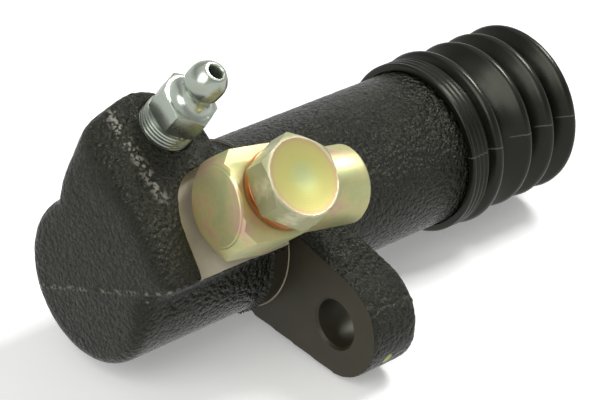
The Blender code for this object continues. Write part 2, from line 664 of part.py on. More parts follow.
def boot_inside():
    """Inner line of the boot from the neck back to the collar's rim."""
    neck = ROD_R + GAP
    line = [(BOOT_NECK_X + BOOT_NECK_LENGTH, neck), (BOOT_NECK_X + BOOT_NECK_LENGTH - 1.9, neck),
            (BOOT_NECK_X + BOOT_NECK_LENGTH - 2.5, neck - 0.7), (BOOT_NECK_X + 0.9, neck - 0.7),
            (BOOT_NECK_X + 0.3, neck), (BOOT_NECK_X - 0.6, neck + 1.0)]
    folds = list(BOOT_FOLDS)
    last = folds[-1]
    line.append((last[0] + 0.9, BOOT_VALLEY_R + 0.2))
    for k in range(len(folds) - 1, -1, -1):
        x, r = folds[k]
        line.append((x + 0.25, r - BOOT_WALL))
        line.append((x - 0.25, r - BOOT_WALL))
        if k:
            before = folds[k - 1][0]
            line.append((before + (x - before) * 0.44, BOOT_VALLEY_R - BOOT_WALL))
            line.append((before + (x - before) * 0.38, BOOT_VALLEY_R - BOOT_WALL))
    groove_end = BOOT_GROOVE_X + BOOT_GROOVE_WIDTH - GAP
    bead = TUBE_R - BOOT_GROOVE_DEPTH + GAP
    tube = TUBE_R + GAP
    line += [(MOUTH_X + 0.9, tube - 0.2), (groove_end, tube), (groove_end, bead),
             (BOOT_GROOVE_X + GAP, bead), (BOOT_GROOVE_X + GAP, tube), (BOOT_START_X, tube)]
    return line


def make_boot(surface):
    return place("dust_boot", lathe(boot_outside() + boot_inside(), 32), surface)


def main():
    clear_scene()
    iron = material("painted_cast_iron", (0.022, 0.022, 0.020), 0.45, 0.0)
    zinc_yellow = material("yellow_zinc", (0.52, 0.47, 0.20), 0.28, 0.9)
    zinc_silver = material("silver_zinc", (0.48, 0.50, 0.46), 0.25, 0.9)
    copper = material("copper", (0.70, 0.23, 0.08), 0.35, 0.95)
    alloy = material("aluminium", (0.60, 0.60, 0.60), 0.35, 0.9)
    steel = material("steel", (0.35, 0.35, 0.35), 0.35, 0.9)
    rubber = material("rubber", (0.012, 0.012, 0.011), 0.5, 0.0)
    plastic = material("plastic", (0.6, 0.58, 0.5), 0.5, 0.0)

    make_casting(iron)
    make_union(zinc_yellow)
    make_tube_seat(steel)
    lower, upper, _ = washer_heights()
    make_washer("union_washer_lower", lower, copper)
    make_washer("union_washer_upper", upper, copper)
    make_banjo_bolt(zinc_yellow)
    make_bleeder(zinc_silver)
    make_spring(steel)
    make_cup_spreader(plastic)
    make_primary_cup(rubber)
    make_piston(alloy)
    make_secondary_cup(rubber)
    make_snap_ring(steel)
    make_pushrod(steel)
    make_boot(rubber)


main()
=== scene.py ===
"""Clutch slave cylinder: finished surfaces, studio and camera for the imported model."""

import json

import bmesh
import bpy
import numpy as np
from math import cos, pi, radians, sin, sqrt, tan
from mathutils import Matrix, Vector, noise

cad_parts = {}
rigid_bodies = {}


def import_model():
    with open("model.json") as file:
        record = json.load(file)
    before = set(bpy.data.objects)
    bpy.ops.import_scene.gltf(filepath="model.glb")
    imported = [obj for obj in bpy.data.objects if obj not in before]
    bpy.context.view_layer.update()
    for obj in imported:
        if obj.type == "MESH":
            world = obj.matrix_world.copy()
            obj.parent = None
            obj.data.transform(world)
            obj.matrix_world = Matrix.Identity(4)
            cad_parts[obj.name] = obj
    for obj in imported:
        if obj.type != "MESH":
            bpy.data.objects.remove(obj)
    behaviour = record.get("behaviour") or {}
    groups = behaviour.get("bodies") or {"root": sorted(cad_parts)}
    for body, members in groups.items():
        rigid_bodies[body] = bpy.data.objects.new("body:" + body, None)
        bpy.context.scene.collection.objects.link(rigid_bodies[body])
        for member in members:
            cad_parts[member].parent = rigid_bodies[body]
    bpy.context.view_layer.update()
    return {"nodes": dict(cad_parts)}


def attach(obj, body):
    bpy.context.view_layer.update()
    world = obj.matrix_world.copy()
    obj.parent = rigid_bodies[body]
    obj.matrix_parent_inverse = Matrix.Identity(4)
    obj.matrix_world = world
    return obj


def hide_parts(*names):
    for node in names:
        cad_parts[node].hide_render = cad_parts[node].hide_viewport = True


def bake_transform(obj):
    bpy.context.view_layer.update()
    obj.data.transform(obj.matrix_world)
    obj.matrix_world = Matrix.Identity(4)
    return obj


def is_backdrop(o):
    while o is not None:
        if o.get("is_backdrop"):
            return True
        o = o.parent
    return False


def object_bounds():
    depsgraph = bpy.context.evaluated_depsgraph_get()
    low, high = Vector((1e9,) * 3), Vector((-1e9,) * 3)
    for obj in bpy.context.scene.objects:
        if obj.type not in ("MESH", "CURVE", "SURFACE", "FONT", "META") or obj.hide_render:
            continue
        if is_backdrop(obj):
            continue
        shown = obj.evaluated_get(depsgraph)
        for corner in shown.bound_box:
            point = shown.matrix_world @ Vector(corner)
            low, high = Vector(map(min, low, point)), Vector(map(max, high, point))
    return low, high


for item in list(bpy.data.objects):
    bpy.data.objects.remove(item, do_unlink=True)

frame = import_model()


# Cylinder casting: grey iron poured in a sand mould, painted black, then machined.
# The sand leaves a pebbled skin, the paint rounds it, and the tools leave bare flats
# at the union's pocket, the bolt ears' face and the bore.

MM = 0.001
BORE_R = 9.525            # sizes are in millimetres, and X runs along the bore
BORE_BOTTOM_X = -26.0
TUBE_R = 15.3
MOUTH_X = 51.5
SNAP_GROOVE_X = 48.4
PILOT_R = 15.65
PILOT_LENGTH = 3.5
EAR_REACH = 29.0
EAR_DROOP_DEG = 14.4
EAR_HOLE_R = 4.5
EAR_THICKNESS = 10.5
PAD_HEIGHT = 18.4
BOLT_X = -10.96
SKIN_GRID = 0.42          # spacing of the cast skin's mesh
SKIN_GRAIN = 1.1          # width of one pebble of the cast skin
SKIN_DEPTH = 0.06
FLASH_TILT_DEG = -23.4    # the two mould halves met in a plane through the bore
FLASH_OFFSET = -0.8
EAR_FLASH_Z = -2.0        # and stepped down to this height at the ears
FLASH_WIDTH = 0.35
FLASH_HEIGHT = 0.3
TO_MACHINE = 0.4          # metal that the mould leaves for the cutters
POCKET_LEFT_X = -25.8
POCKET_RIGHT_X = -0.4
POCKET_TOP = 9.65
POCKET_CORNER_R = 9.3


def around_bore(angle_deg):
    """Direction square to the bore, counted from +Y towards +Z."""
    return Vector((0.0, cos(radians(angle_deg)), sin(radians(angle_deg))))


ALONG_BORE = Vector((1.0, 0.0, 0.0))
UNION_UP = around_bore(137.24)
UNION_ACROSS = UNION_UP.cross(ALONG_BORE)
UNION_FOOT = BOLT_X * ALONG_BORE
HEAD_UP = around_bore(125.2)
BLEEDER_LEAN = radians(7.48)
BLEEDER_UP = cos(BLEEDER_LEAN) * HEAD_UP + sin(BLEEDER_LEAN) * ALONG_BORE
SEAT_ACROSS = BLEEDER_UP.cross(ALONG_BORE).normalized()
SEAT_HEIGHT = 20.0
BLEEDER_FOOT = Vector((-17.36, -1.3217, 26.5426))
RIDGE_FOOT = Vector((-27.0, 0, 0)) + 2.0 * SEAT_ACROSS + 23.9 * HEAD_UP      # of the ridge that handling rubs
FLASH_UP = around_bore(90 + FLASH_TILT_DEG)


def stand(origin, along, side):
    """Frame in millimetres whose X runs along and whose Y lies towards side."""
    along = along.normalized()
    side = (side - along * side.dot(along)).normalized()
    turn = Matrix((along, side, along.cross(side))).transposed().to_4x4()
    return Matrix.Translation(origin) @ turn


def piece(name, bm, place=Matrix.Identity(4), sharp_deg=40):
    """Object at the origin from a bmesh in millimetres that is set on its place."""
    bmesh.ops.transform(bm, matrix=Matrix.Scale(MM, 4) @ place, verts=bm.verts)
    bmesh.ops.recalc_face_normals(bm, faces=bm.faces)
    mesh = bpy.data.meshes.new(name)
    bm.to_mesh(mesh)
    bm.free()
    mesh.shade_smooth()
    mesh.set_sharp_from_angle(angle=radians(sharp_deg))
    made = bpy.data.objects.new(name, mesh)
    bpy.context.scene.collection.objects.link(made)
    return made


def turned(profile, steps=96):
    """Surface turned about X from (x, radius) points. A point on the axis becomes one pole."""
    bm = bmesh.new()
    rings = []
    for x, r in profile:
        if r < 1e-6:
            rings.append([bm.verts.new((x, 0, 0))] * steps)
        else:
            angles = (2 * pi * k / steps for k in range(steps))
            rings.append([bm.verts.new((x, r * cos(a), r * sin(a))) for a in angles])
    on_axis = profile[0][1] < 1e-6 and profile[-1][1] < 1e-6
    for low, high in zip(rings, rings[1:] if on_axis else rings[1:] + rings[:1]):
        for k in range(steps):
            n = (k + 1) % steps
            corners = list(dict.fromkeys((low[k], low[n], high[n], high[k])))
            if len(corners) > 2:
                bm.faces.new(corners)
    return bm


def extruded(outline, start, end):
    """Solid from an outline of (y, z) points, drawn out along X."""
    bm = bmesh.new()
    low = [bm.verts.new((start, y, z)) for y, z in outline]
    high = [bm.verts.new((end, y, z)) for y, z in outline]
    bm.faces.new(low)
    bm.faces.new(high)
    for k in range(len(low)):
        n = (k + 1) % len(low)
        bm.faces.new((low[k], low[n], high[n], high[k]))
    return bm


def rod(start, end, radius):
    """Profile of a plain cylinder along X."""
    return [(start, 0), (start, radius), (end, radius), (end, 0)]


def combine(target, tool, operation):
    """Adds a solid to the target or cuts it away, and leaves the plain result."""
    step = target.modifiers.new(tool.name, "BOOLEAN")
    step.operation = operation
    step.solver = "EXACT"
    step.material_mode = "TRANSFER"
    step.object = tool
    settle(target)
    bpy.data.objects.remove(tool, do_unlink=True)


def settle(target):
    """Keeps the shape that the target's modifiers give, and removes them."""
    graph = bpy.context.evaluated_depsgraph_get()
    mesh = bpy.data.meshes.new_from_object(target.evaluated_get(graph))
    target.modifiers.clear()
    target.data = mesh


def relax(points, edges, weight, rounds):
    """Rounds a skin by moving each point towards the mean of its neighbours."""
    ends = np.concatenate((edges[:, 0], edges[:, 1]))
    others = np.concatenate((edges[:, 1], edges[:, 0]))
    count = np.bincount(ends, minlength=len(points))[:, None]
    for _ in range(rounds):
        mean = np.stack([np.bincount(ends, points[others, k], len(points)) for k in range(3)], 1)
        points = points + (0.5 * weight)[:, None] * (mean / count - points)
    return points


casting = bpy.data.objects.new("casting", frame["nodes"]["cylinder_body"].data.copy())
bpy.context.scene.collection.objects.link(casting)
joined = bmesh.new()      # the CAD solid's loose triangles become one closed skin
joined.from_mesh(casting.data)
bmesh.ops.remove_doubles(joined, verts=joined.verts, dist=0.001 * MM)
joined.to_mesh(casting.data)
joined.free()

on_union = stand(UNION_FOOT, UNION_UP, ALONG_BORE)
on_bleeder = stand(BLEEDER_FOOT, BLEEDER_UP, SEAT_ACROSS)
ear_centres = [Vector((0.0, side * EAR_REACH * cos(radians(EAR_DROOP_DEG)),
                       -EAR_REACH * sin(radians(EAR_DROOP_DEG)))) for side in (-1, 1)]
# The mould gives a solid blank, so the holes are filled here and machined after the skin is made.
cores = [("bore_core", rod(BORE_BOTTOM_X + 0.7, MOUTH_X - 0.6, 11.0), 48, Matrix.Identity(4)),
         ("port_core", rod(4.0, PAD_HEIGHT - 0.1, 5.9), 32, on_union),
         ("bleeder_core", rod(-15.0, -0.1, 5.8), 32, on_bleeder)]
for centre in ear_centres:
    cores.append(("ear_core", rod(0.15, EAR_THICKNESS - 0.15, 5.6), 32, Matrix.Translation(centre)))
for name, profile, steps, where in cores:
    combine(casting, piece(name, turned(profile, steps), where), "UNION")
skin = casting.modifiers.new("skin", "REMESH")
skin.mode = "VOXEL"
skin.voxel_size = SKIN_GRID * MM
settle(casting)

points = np.empty(len(casting.data.vertices) * 3)
casting.data.vertices.foreach_get("co", points)
points = points.reshape(-1, 3) / MM
edges = np.empty(len(casting.data.edges) * 2, int)
casting.data.edges.foreach_get("vertices", edges)
edges = edges.reshape(-1, 2)
points = relax(points, edges, np.ones(len(points)), 8)

# The head's shoulders flow together more, but its ridge and the bleeder's seat stay crisp.
ridge = np.array(SEAT_ACROSS)
from_ridge = points - np.array(RIDGE_FOOT)
from_ridge = np.linalg.norm(from_ridge - np.outer(from_ridge @ ridge, ridge), axis=1)
head = np.clip((-9.0 - points[:, 0]) / 4.0, 0, 1) * np.clip((points @ np.array(HEAD_UP) - 3.0) / 6.0, 0, 1)
head *= np.clip((from_ridge - 0.8) / 3.0, 0, 1)
head *= np.clip(SEAT_HEIGHT - 0.4 - points @ np.array(BLEEDER_UP), 0, 1)
points = relax(points, edges, head, 20)

# The sand's grain and the flash where the mould's halves met stand out along the normals.
casting.data.vertices.foreach_set("co", (points * MM).ravel())
casting.data.update()
normals = np.empty(len(points) * 3)
casting.data.vertices.foreach_get("normal", normals)
normals = normals.reshape(-1, 3)
radius = np.hypot(points[:, 1], points[:, 2])
off_flash = points @ np.array(FLASH_UP) - FLASH_OFFSET
finer_from = Vector((9, 3, 5))
grain = np.array([noise.noise(Vector(p / SKIN_GRAIN)) + 0.5 * noise.noise(Vector(p / SKIN_GRAIN * 2.1) + finer_from)
                  for p in points])
grain *= 0.6 + 0.4 * np.clip(off_flash / 3.0, 0, 1)
turned_band = np.clip(np.abs(points[:, 0] + PILOT_LENGTH / 2) - PILOT_LENGTH / 2, 0, 1)
turned_band = np.where(radius < PILOT_R + 0.6, turned_band, 1.0)
flash = np.exp(-(off_flash / FLASH_WIDTH) ** 2) * np.clip((-25.0 - points[:, 0]) / 3.0, 0, 1)
flash += np.exp(-((points[:, 2] - EAR_FLASH_Z) / FLASH_WIDTH) ** 2) * np.clip(np.abs(points[:, 1]) - 33.0, 0, 1)
flash *= np.array([0.5 + 0.8 * noise.noise(Vector((p[1], p[2], 0)) / 2.5) for p in points])
points += normals * (turned_band * SKIN_DEPTH * grain + FLASH_HEIGHT * flash)[:, None]

# Metal to machine: the blank stands proud at the ears' face, the turned band and the pocket.
ears = np.clip((radius - 16.6) / 1.0, 0, 1) * np.clip((2.5 - np.abs(points[:, 0])) / 2.0, 0, 1)
points[:, 0] -= TO_MACHINE * ears
height = points @ np.array(UNION_UP)
band = (radius > TUBE_R - 0.8) & (radius < PILOT_R + 0.5) & (np.abs(points[:, 0] + 1.7) < 2.0) & (height < 14.6)
points[band, 1:] *= ((PILOT_R + 0.35) / radius[band])[:, None]
across = points @ np.array(UNION_ACROSS)
left, top = points[:, 0] - POCKET_LEFT_X, POCKET_TOP - across
turn_x, turn_y = left - POCKET_CORNER_R, POCKET_CORNER_R - top
reach = np.maximum(np.hypot(turn_x, turn_y), 0.1)
corner = (turn_x < 0) & (turn_y > 0)
inside = np.where(corner, POCKET_CORNER_R - reach, np.minimum(left, top))
over_floor = height - PAD_HEIGHT
on_floor = np.clip(0.5 + inside / 0.8, 0, 1) * np.clip((1.3 - np.abs(over_floor)) / 0.9, 0, 1) * (points[:, 0] < -3.0)
on_wall = np.clip((1.3 - np.abs(inside)) / 0.9, 0, 1) * np.clip(over_floor / 0.9, 0, 1)
from_left = np.where(corner, -turn_x / reach, left < top)
from_top = np.where(corner, turn_y / reach, left >= top)
points += TO_MACHINE * (on_floor[:, None] * np.array(UNION_UP) + (on_wall * from_left)[:, None] * np.array(ALONG_BORE)
                        - (on_wall * from_top)[:, None] * np.array(UNION_ACROSS))
casting.data.vertices.foreach_set("co", (points * MM).ravel())
casting.data.update()


def linear(code):
    """Linear colour from an sRGB hex code."""
    parts = [int(code[k:k + 2], 16) / 255 for k in (1, 3, 5)]
    return tuple(c / 12.92 if c <= 0.04045 else ((c + 0.055) / 1.055) ** 2.4 for c in parts) + (1.0,)


def add(tree, kind, inputs=None, **settings):
    """Adds a node, sets its properties, and gives each input a value or a link."""
    node = tree.nodes.new(kind)
    for name, value in settings.items():
        setattr(node, name, value)
    for name, value in (inputs or {}).items():
        if isinstance(value, bpy.types.NodeSocket):
            tree.links.new(value, node.inputs[name])
        else:
            node.inputs[name].default_value = value
    return node


def finish_of(name):
    """New empty material: its node tree and the place in the object's own metres."""
    made = bpy.data.materials.new(name)
    made.use_nodes = True
    made.node_tree.nodes.clear()
    place = add(made.node_tree, "ShaderNodeTexCoord").outputs["Object"]
    return made, made.node_tree, place


# Black paint over sand-cast iron: near black and softly shiny on every grain of the sand,
# with grey iron where handling has rubbed the ridge beside the seat and the mould's flash,
# and one small dab of yellow green paint from the inspection on the ear's rim.
painted_iron, tree, place = finish_of("painted_cast_iron")
sand = add(tree, "ShaderNodeTexVoronoi", {"Vector": place, "Scale": 1 / (0.9 * MM), "Randomness": 1.0})
fine = add(tree, "ShaderNodeTexNoise", {"Vector": place, "Scale": 1 / (0.55 * MM), "Detail": 3.0, "Roughness": 0.6})
coarse = add(tree, "ShaderNodeTexNoise", {"Vector": place, "Scale": 1 / (2.2 * MM), "Detail": 2.0})
broad = add(tree, "ShaderNodeTexNoise", {"Vector": place, "Scale": 1 / (9 * MM), "Detail": 2.0})
tone = add(tree, "ShaderNodeValToRGB", {"Fac": broad.outputs["Fac"]})
stops = tone.color_ramp.elements
stops[0].position, stops[0].color = 0.3, linear("#0c0c08")
stops[1].position, stops[1].color = 0.7, linear("#171711")
to_ridge = add(tree, "ShaderNodeVectorMath", {0: place, 1: tuple(RIDGE_FOOT * MM)}, operation="SUBTRACT")
to_ridge = add(tree, "ShaderNodeVectorMath", {0: to_ridge.outputs["Vector"], 1: tuple(SEAT_ACROSS)},
               operation="CROSS_PRODUCT")
to_ridge = add(tree, "ShaderNodeVectorMath", {0: to_ridge.outputs["Vector"]}, operation="LENGTH").outputs["Value"]
ridge = add(tree, "ShaderNodeMapRange", {"Value": to_ridge, "From Min": 0.4 * MM, "From Max": 1.7 * MM,
                                         "To Min": 0.85, "To Max": 0.0}).outputs[0]
up_ridge = add(tree, "ShaderNodeVectorMath", {0: place, 1: tuple(SEAT_ACROSS)}, operation="DOT_PRODUCT")
up_ridge = add(tree, "ShaderNodeMapRange", {"Value": up_ridge.outputs["Value"], "From Min": 0.5 * MM,
                                            "From Max": 2.5 * MM})
ridge = add(tree, "ShaderNodeMath", {0: ridge, 1: up_ridge.outputs[0]}, operation="MULTIPLY").outputs[0]
to_flash = add(tree, "ShaderNodeVectorMath", {0: place, 1: tuple(FLASH_UP)}, operation="DOT_PRODUCT").outputs["Value"]
to_flash = add(tree, "ShaderNodeMath", {0: to_flash, 1: -FLASH_OFFSET * MM}, operation="ADD").outputs[0]
to_flash = add(tree, "ShaderNodeMath", {0: to_flash}, operation="ABSOLUTE").outputs[0]
line = add(tree, "ShaderNodeMapRange", {"Value": to_flash, "From Min": 0.1 * MM, "From Max": 0.6 * MM,
                                        "To Min": 0.5, "To Max": 0.0}).outputs[0]
at_end = add(tree, "ShaderNodeSeparateXYZ", {"Vector": place}).outputs["X"]
at_end = add(tree, "ShaderNodeMapRange", {"Value": at_end, "From Min": -31.0 * MM, "From Max": -27.0 * MM,
                                          "To Min": 1.0, "To Max": 0.0}).outputs[0]
line = add(tree, "ShaderNodeMath", {0: line, 1: at_end}, operation="MULTIPLY").outputs[0]
edge = add(tree, "ShaderNodeNewGeometry").outputs["Pointiness"]
edge = add(tree, "ShaderNodeMapRange", {"Value": edge, "From Min": 0.55, "From Max": 0.66, "To Max": 0.8}).outputs[0]
rubbed = add(tree, "ShaderNodeMath", {0: ridge, 1: line}, operation="MAXIMUM").outputs[0]
rubbed = add(tree, "ShaderNodeMath", {0: rubbed, 1: edge}, operation="MAXIMUM").outputs[0]
height = add(tree, "ShaderNodeMath", {0: sand.outputs["Distance"], 1: -1.1, 2: fine.outputs["Fac"]},
             operation="MULTIPLY_ADD").outputs[0]
fleck = add(tree, "ShaderNodeMath", {0: coarse.outputs["Fac"], 1: 0.9, 2: height}, operation="MULTIPLY_ADD").outputs[0]
fleck = add(tree, "ShaderNodeMapRange", {"Value": fleck, "From Min": 0.36, "From Max": 0.56}).outputs[0]
worn = add(tree, "ShaderNodeMath", {0: rubbed, 1: fleck}, operation="MULTIPLY").outputs[0]
colour = add(tree, "ShaderNodeMix", {0: worn, 6: tone.outputs["Color"], 7: linear("#928f85")}, data_type="RGBA")
dab_at = tuple(Vector((4.5, -37.1, -11.4)) * MM)
to_dab = add(tree, "ShaderNodeVectorMath", {0: place, 1: dab_at}, operation="DISTANCE").outputs["Value"]
to_dab = add(tree, "ShaderNodeMath", {0: coarse.outputs["Fac"], 1: 1.6 * MM, 2: to_dab},
             operation="MULTIPLY_ADD").outputs[0]
dab = add(tree, "ShaderNodeMapRange", {"Value": to_dab, "From Min": 1.6 * MM, "From Max": 1.85 * MM, "To Min": 1.0,
                                       "To Max": 0.0}).outputs[0]
colour = add(tree, "ShaderNodeMix", {0: dab, 6: colour.outputs[2], 7: linear("#aab35c")}, data_type="RGBA")
relief = add(tree, "ShaderNodeBump", {"Height": height, "Strength": 1.0, "Distance": 0.42 * MM})
gloss = add(tree, "ShaderNodeMapRange", {"Value": fine.outputs["Fac"], "From Min": 0.38, "From Max": 0.62,
                                         "To Min": 0.14, "To Max": 0.34})
shader = add(tree, "ShaderNodeBsdfPrincipled", {"Base Color": colour.outputs[2], "Roughness": gloss.outputs[0],
                                                "Specular IOR Level": 0.34, "Specular Tint": (0.97, 1.0, 0.80, 1.0),
                                                "Normal": relief.outputs["Normal"]})
add(tree, "ShaderNodeOutputMaterial", {"Surface": shader.outputs["BSDF"]})

# Grey iron under an end mill: bare, dull and pale, with faint marks of the cutter.
milled_iron, tree, place = finish_of("milled_iron")
marks = add(tree, "ShaderNodeTexNoise", {"Vector": place, "Scale": 1 / (0.5 * MM), "Detail": 4.0})
stain = add(tree, "ShaderNodeTexNoise", {"Vector": place, "Scale": 1 / (4 * MM), "Detail": 5.0})
tone = add(tree, "ShaderNodeMix", {0: stain.outputs["Fac"], 6: linear("#a49b86"), 7: linear("#d2cbb9")},
           data_type="RGBA")
relief = add(tree, "ShaderNodeBump", {"Height": marks.outputs["Fac"], "Strength": 0.2, "Distance": 0.03 * MM})
shader = add(tree, "ShaderNodeBsdfPrincipled", {"Base Color": tone.outputs[2], "Metallic": 0.2,
                                                "Roughness": 0.5, "Normal": relief.outputs["Normal"]})
add(tree, "ShaderNodeOutputMaterial", {"Surface": shader.outputs["BSDF"]})

# Grey iron faced in the lathe and left to darken: brown grey, with rings from the tool,
# drawn 3 mm apart because the real ones are too fine to show.
faced_iron, tree, place = finish_of("faced_iron")
rings = add(tree, "ShaderNodeTexWave", {"Vector": place, "Scale": 1 / (20 * 0.5 * MM), "Distortion": 0.6,
                                        "Detail": 1.0}, wave_type="RINGS", rings_direction="X")
stain = add(tree, "ShaderNodeTexNoise", {"Vector": place, "Scale": 1 / (6 * MM), "Detail": 4.0})
tone = add(tree, "ShaderNodeMix", {0: stain.outputs["Fac"], 6: linear("#2b281b"), 7: linear("#403b29")},
           data_type="RGBA")
relief = add(tree, "ShaderNodeBump", {"Height": rings.outputs["Fac"], "Strength": 0.25, "Distance": 0.02 * MM})
shader = add(tree, "ShaderNodeBsdfPrincipled", {"Base Color": tone.outputs[2], "Metallic": 0.3,
                                                "Roughness": 0.5, "Normal": relief.outputs["Normal"]})
add(tree, "ShaderNodeOutputMaterial", {"Surface": shader.outputs["BSDF"]})


def arc(centre, radius, start_deg, end_deg, steps):
    """Points on an arc, both ends included."""
    turns = np.linspace(radians(start_deg), radians(end_deg), steps + 1)
    return [(centre[0] + radius * cos(a), centre[1] + radius * sin(a)) for a in turns]


def machine(cutter, surface):
    """Cuts the casting. The new faces take the cutter's surface."""
    cutter.data.materials.append(surface)
    combine(casting, cutter, "DIFFERENCE")


casting.data.materials.clear()
casting.data.materials.append(painted_iron)
pocket_left, pocket_right = POCKET_LEFT_X - BOLT_X, POCKET_RIGHT_X - BOLT_X
turn_centre = (pocket_left + POCKET_CORNER_R, POCKET_TOP - POCKET_CORNER_R)
pocket = [(pocket_left, -30.0), *arc(turn_centre, POCKET_CORNER_R, 180, 90, 32),
          (pocket_right, POCKET_TOP), (pocket_right, -30.0)]
machine(piece("pocket", extruded(pocket, PAD_HEIGHT, PAD_HEIGHT + 30.0), on_union), milled_iron)
facing = [(-PILOT_LENGTH - 0.1, PILOT_R), (-PILOT_LENGTH - 0.1, 60.0), (0.0, 60.0), (0.0, PILOT_R)]
machine(piece("facing", turned(facing, 128)), faced_iron)
relief_ring = [(-0.25, PILOT_R), (-0.25, PILOT_R + 0.3), (0.15, PILOT_R + 0.3), (0.15, PILOT_R)]
machine(piece("relief_ring", turned(relief_ring, 128)), milled_iron)      # where the facing tool stopped
for centre in ear_centres:
    drill = [(-1, 0), (-1, EAR_HOLE_R + 1.4), (0.5, EAR_HOLE_R), (EAR_THICKNESS + 1, EAR_HOLE_R),
             (EAR_THICKNESS + 1, 0)]
    machine(piece("ear_drill", turned(drill, 64), Matrix.Translation(centre)), faced_iron)
hole_r = 5.3
port = [(5.0, 0), (5.0, 2.0), (11.6, 2.0), (12.2, hole_r), (PAD_HEIGHT + 2, hole_r), (PAD_HEIGHT + 2, 0)]
machine(piece("port_drill", turned(port, 48), on_union), milled_iron)
hole_r = 5.15
bleeder_hole = [(-12.6, 0), (-12.6, 1.6), (-11.2, 1.6), (-10.3, hole_r), (-0.5, hole_r), (0.2, 5.7), (2.0, 5.7),
                (2.0, 0)]
machine(piece("bleeder_drill", turned(bleeder_hole, 48), on_bleeder), faced_iron)
groove_r = BORE_R + 1.1
bore = [(BORE_BOTTOM_X, 0), (BORE_BOTTOM_X, BORE_R - 1.5), (BORE_BOTTOM_X + 1.5, BORE_R), (SNAP_GROOVE_X, BORE_R),
        (SNAP_GROOVE_X, groove_r), (SNAP_GROOVE_X + 1.6, groove_r), (SNAP_GROOVE_X + 1.6, BORE_R),
        (MOUTH_X - 0.8, BORE_R), (MOUTH_X + 1.0, BORE_R + 1.8), (MOUTH_X + 1.0, 0)]
machine(piece("bore_hone", turned(bore, 96)), milled_iron)

for face in casting.data.polygons:
    x, y, z = face.center / MM
    if -PILOT_LENGTH - 0.2 < x < -0.1 and z > 2.0 and y * y + z * z < 16.2 ** 2:
        face.material_index = 0      # the paint reaches over the turned band above the ears
casting.data.shade_smooth()
casting.data.set_sharp_from_angle(angle=radians(42))
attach(casting, "housing")
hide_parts("cylinder_body")


# Bleeder screw: turned from hexagon steel bar, zinc plated and passivated clear. It screws
# into the seat on the head, and its nipple takes the hose when air is let out.

THREAD_R = 5.05
THREAD_PITCH = 0.75
THREAD_RIDGE_R = 0.34
THREAD_LENGTH = 10.0
BLEEDER_HEX_AF = 9.6
BLEEDER_HEX_X = 3.4
BLEEDER_HEX_TOP = 8.35
NIPPLE_END = 16.7

# Zinc plating under clear passivate: silver with a green grey cast, smooth, softly bright.
silver_zinc, tree, place = finish_of("silver_zinc")
cloud = add(tree, "ShaderNodeTexNoise", {"Vector": place, "Scale": 1 / (4 * MM), "Detail": 3.0})
pits = add(tree, "ShaderNodeTexNoise", {"Vector": place, "Scale": 1 / (0.35 * MM), "Detail": 2.0})
tone = add(tree, "ShaderNodeMix", {0: cloud.outputs["Fac"], 6: linear("#aab5a6"), 7: linear("#c9cec4")},
           data_type="RGBA")
sheen = add(tree, "ShaderNodeMapRange", {"Value": cloud.outputs["Fac"], "To Min": 0.2, "To Max": 0.34})
relief = add(tree, "ShaderNodeBump", {"Height": pits.outputs["Fac"], "Strength": 0.12, "Distance": 0.03 * MM})
shader = add(tree, "ShaderNodeBsdfPrincipled", {"Base Color": tone.outputs[2], "Metallic": 0.93,
                                                "Roughness": sheen.outputs[0], "Normal": relief.outputs["Normal"]})
add(tree, "ShaderNodeOutputMaterial", {"Surface": shader.outputs["BSDF"]})

# A coil of round wire about Z with its end turns closed: it makes the thread and the spring.
coil = bpy.data.node_groups.new("coil", "GeometryNodeTree")
coil.interface.new_socket("Geometry", in_out="OUTPUT", socket_type="NodeSocketGeometry")
for name in ("Turns", "Steps per Turn", "Length", "End Rise", "Start Radius", "End Radius", "Wire Radius"):
    coil.interface.new_socket(name, in_out="INPUT", socket_type="NodeSocketFloat")
coil.interface.new_socket("Sides", in_out="INPUT", socket_type="NodeSocketInt")
coil.interface.new_socket("Material", in_out="INPUT", socket_type="NodeSocketMaterial")
given = add(coil, "NodeGroupInput").outputs
steps = add(coil, "ShaderNodeMath", {0: given["Turns"], 1: given["Steps per Turn"]}, operation="MULTIPLY")
line = add(coil, "GeometryNodeCurvePrimitiveLine")
line = add(coil, "GeometryNodeResampleCurve", {"Curve": line.outputs[0], "Count": steps.outputs[0]})
part_way = add(coil, "GeometryNodeSplineParameter").outputs["Factor"]
turns = add(coil, "ShaderNodeMath", {0: part_way, 1: given["Turns"]}, operation="MULTIPLY").outputs[0]
last = add(coil, "ShaderNodeMath", {0: given["Turns"], 1: 0.75}, operation="SUBTRACT").outputs[0]
between = add(coil, "ShaderNodeMath", {0: given["End Rise"], 1: -2.0, 2: given["Length"]}, operation="MULTIPLY_ADD")
closed = add(coil, "ShaderNodeMapRange", {"Value": turns, "From Max": 0.75, "To Max": given["End Rise"]})
rise = add(coil, "ShaderNodeMapRange", {"Value": turns, "From Min": 0.75, "From Max": last,
                                        "To Max": between.outputs[0]})
tail = add(coil, "ShaderNodeMapRange", {"Value": turns, "From Min": last, "From Max": given["Turns"],
                                        "To Max": given["End Rise"]})
along = add(coil, "ShaderNodeMath", {0: closed.outputs[0], 1: rise.outputs[0]}, operation="ADD")
along = add(coil, "ShaderNodeMath", {0: along.outputs[0], 1: tail.outputs[0]}, operation="ADD")
wide = add(coil, "ShaderNodeMapRange", {"Value": part_way, "To Min": given["Start Radius"],
                                        "To Max": given["End Radius"]}).outputs[0]
angle = add(coil, "ShaderNodeMath", {0: turns, 1: 2 * pi}, operation="MULTIPLY").outputs[0]
sides = [add(coil, "ShaderNodeMath", {0: angle}, operation=wave).outputs[0] for wave in ("COSINE", "SINE")]
sides = [add(coil, "ShaderNodeMath", {0: wide, 1: side}, operation="MULTIPLY").outputs[0] for side in sides]
spot = add(coil, "ShaderNodeCombineXYZ", {"X": sides[0], "Y": sides[1], "Z": along.outputs[0]})
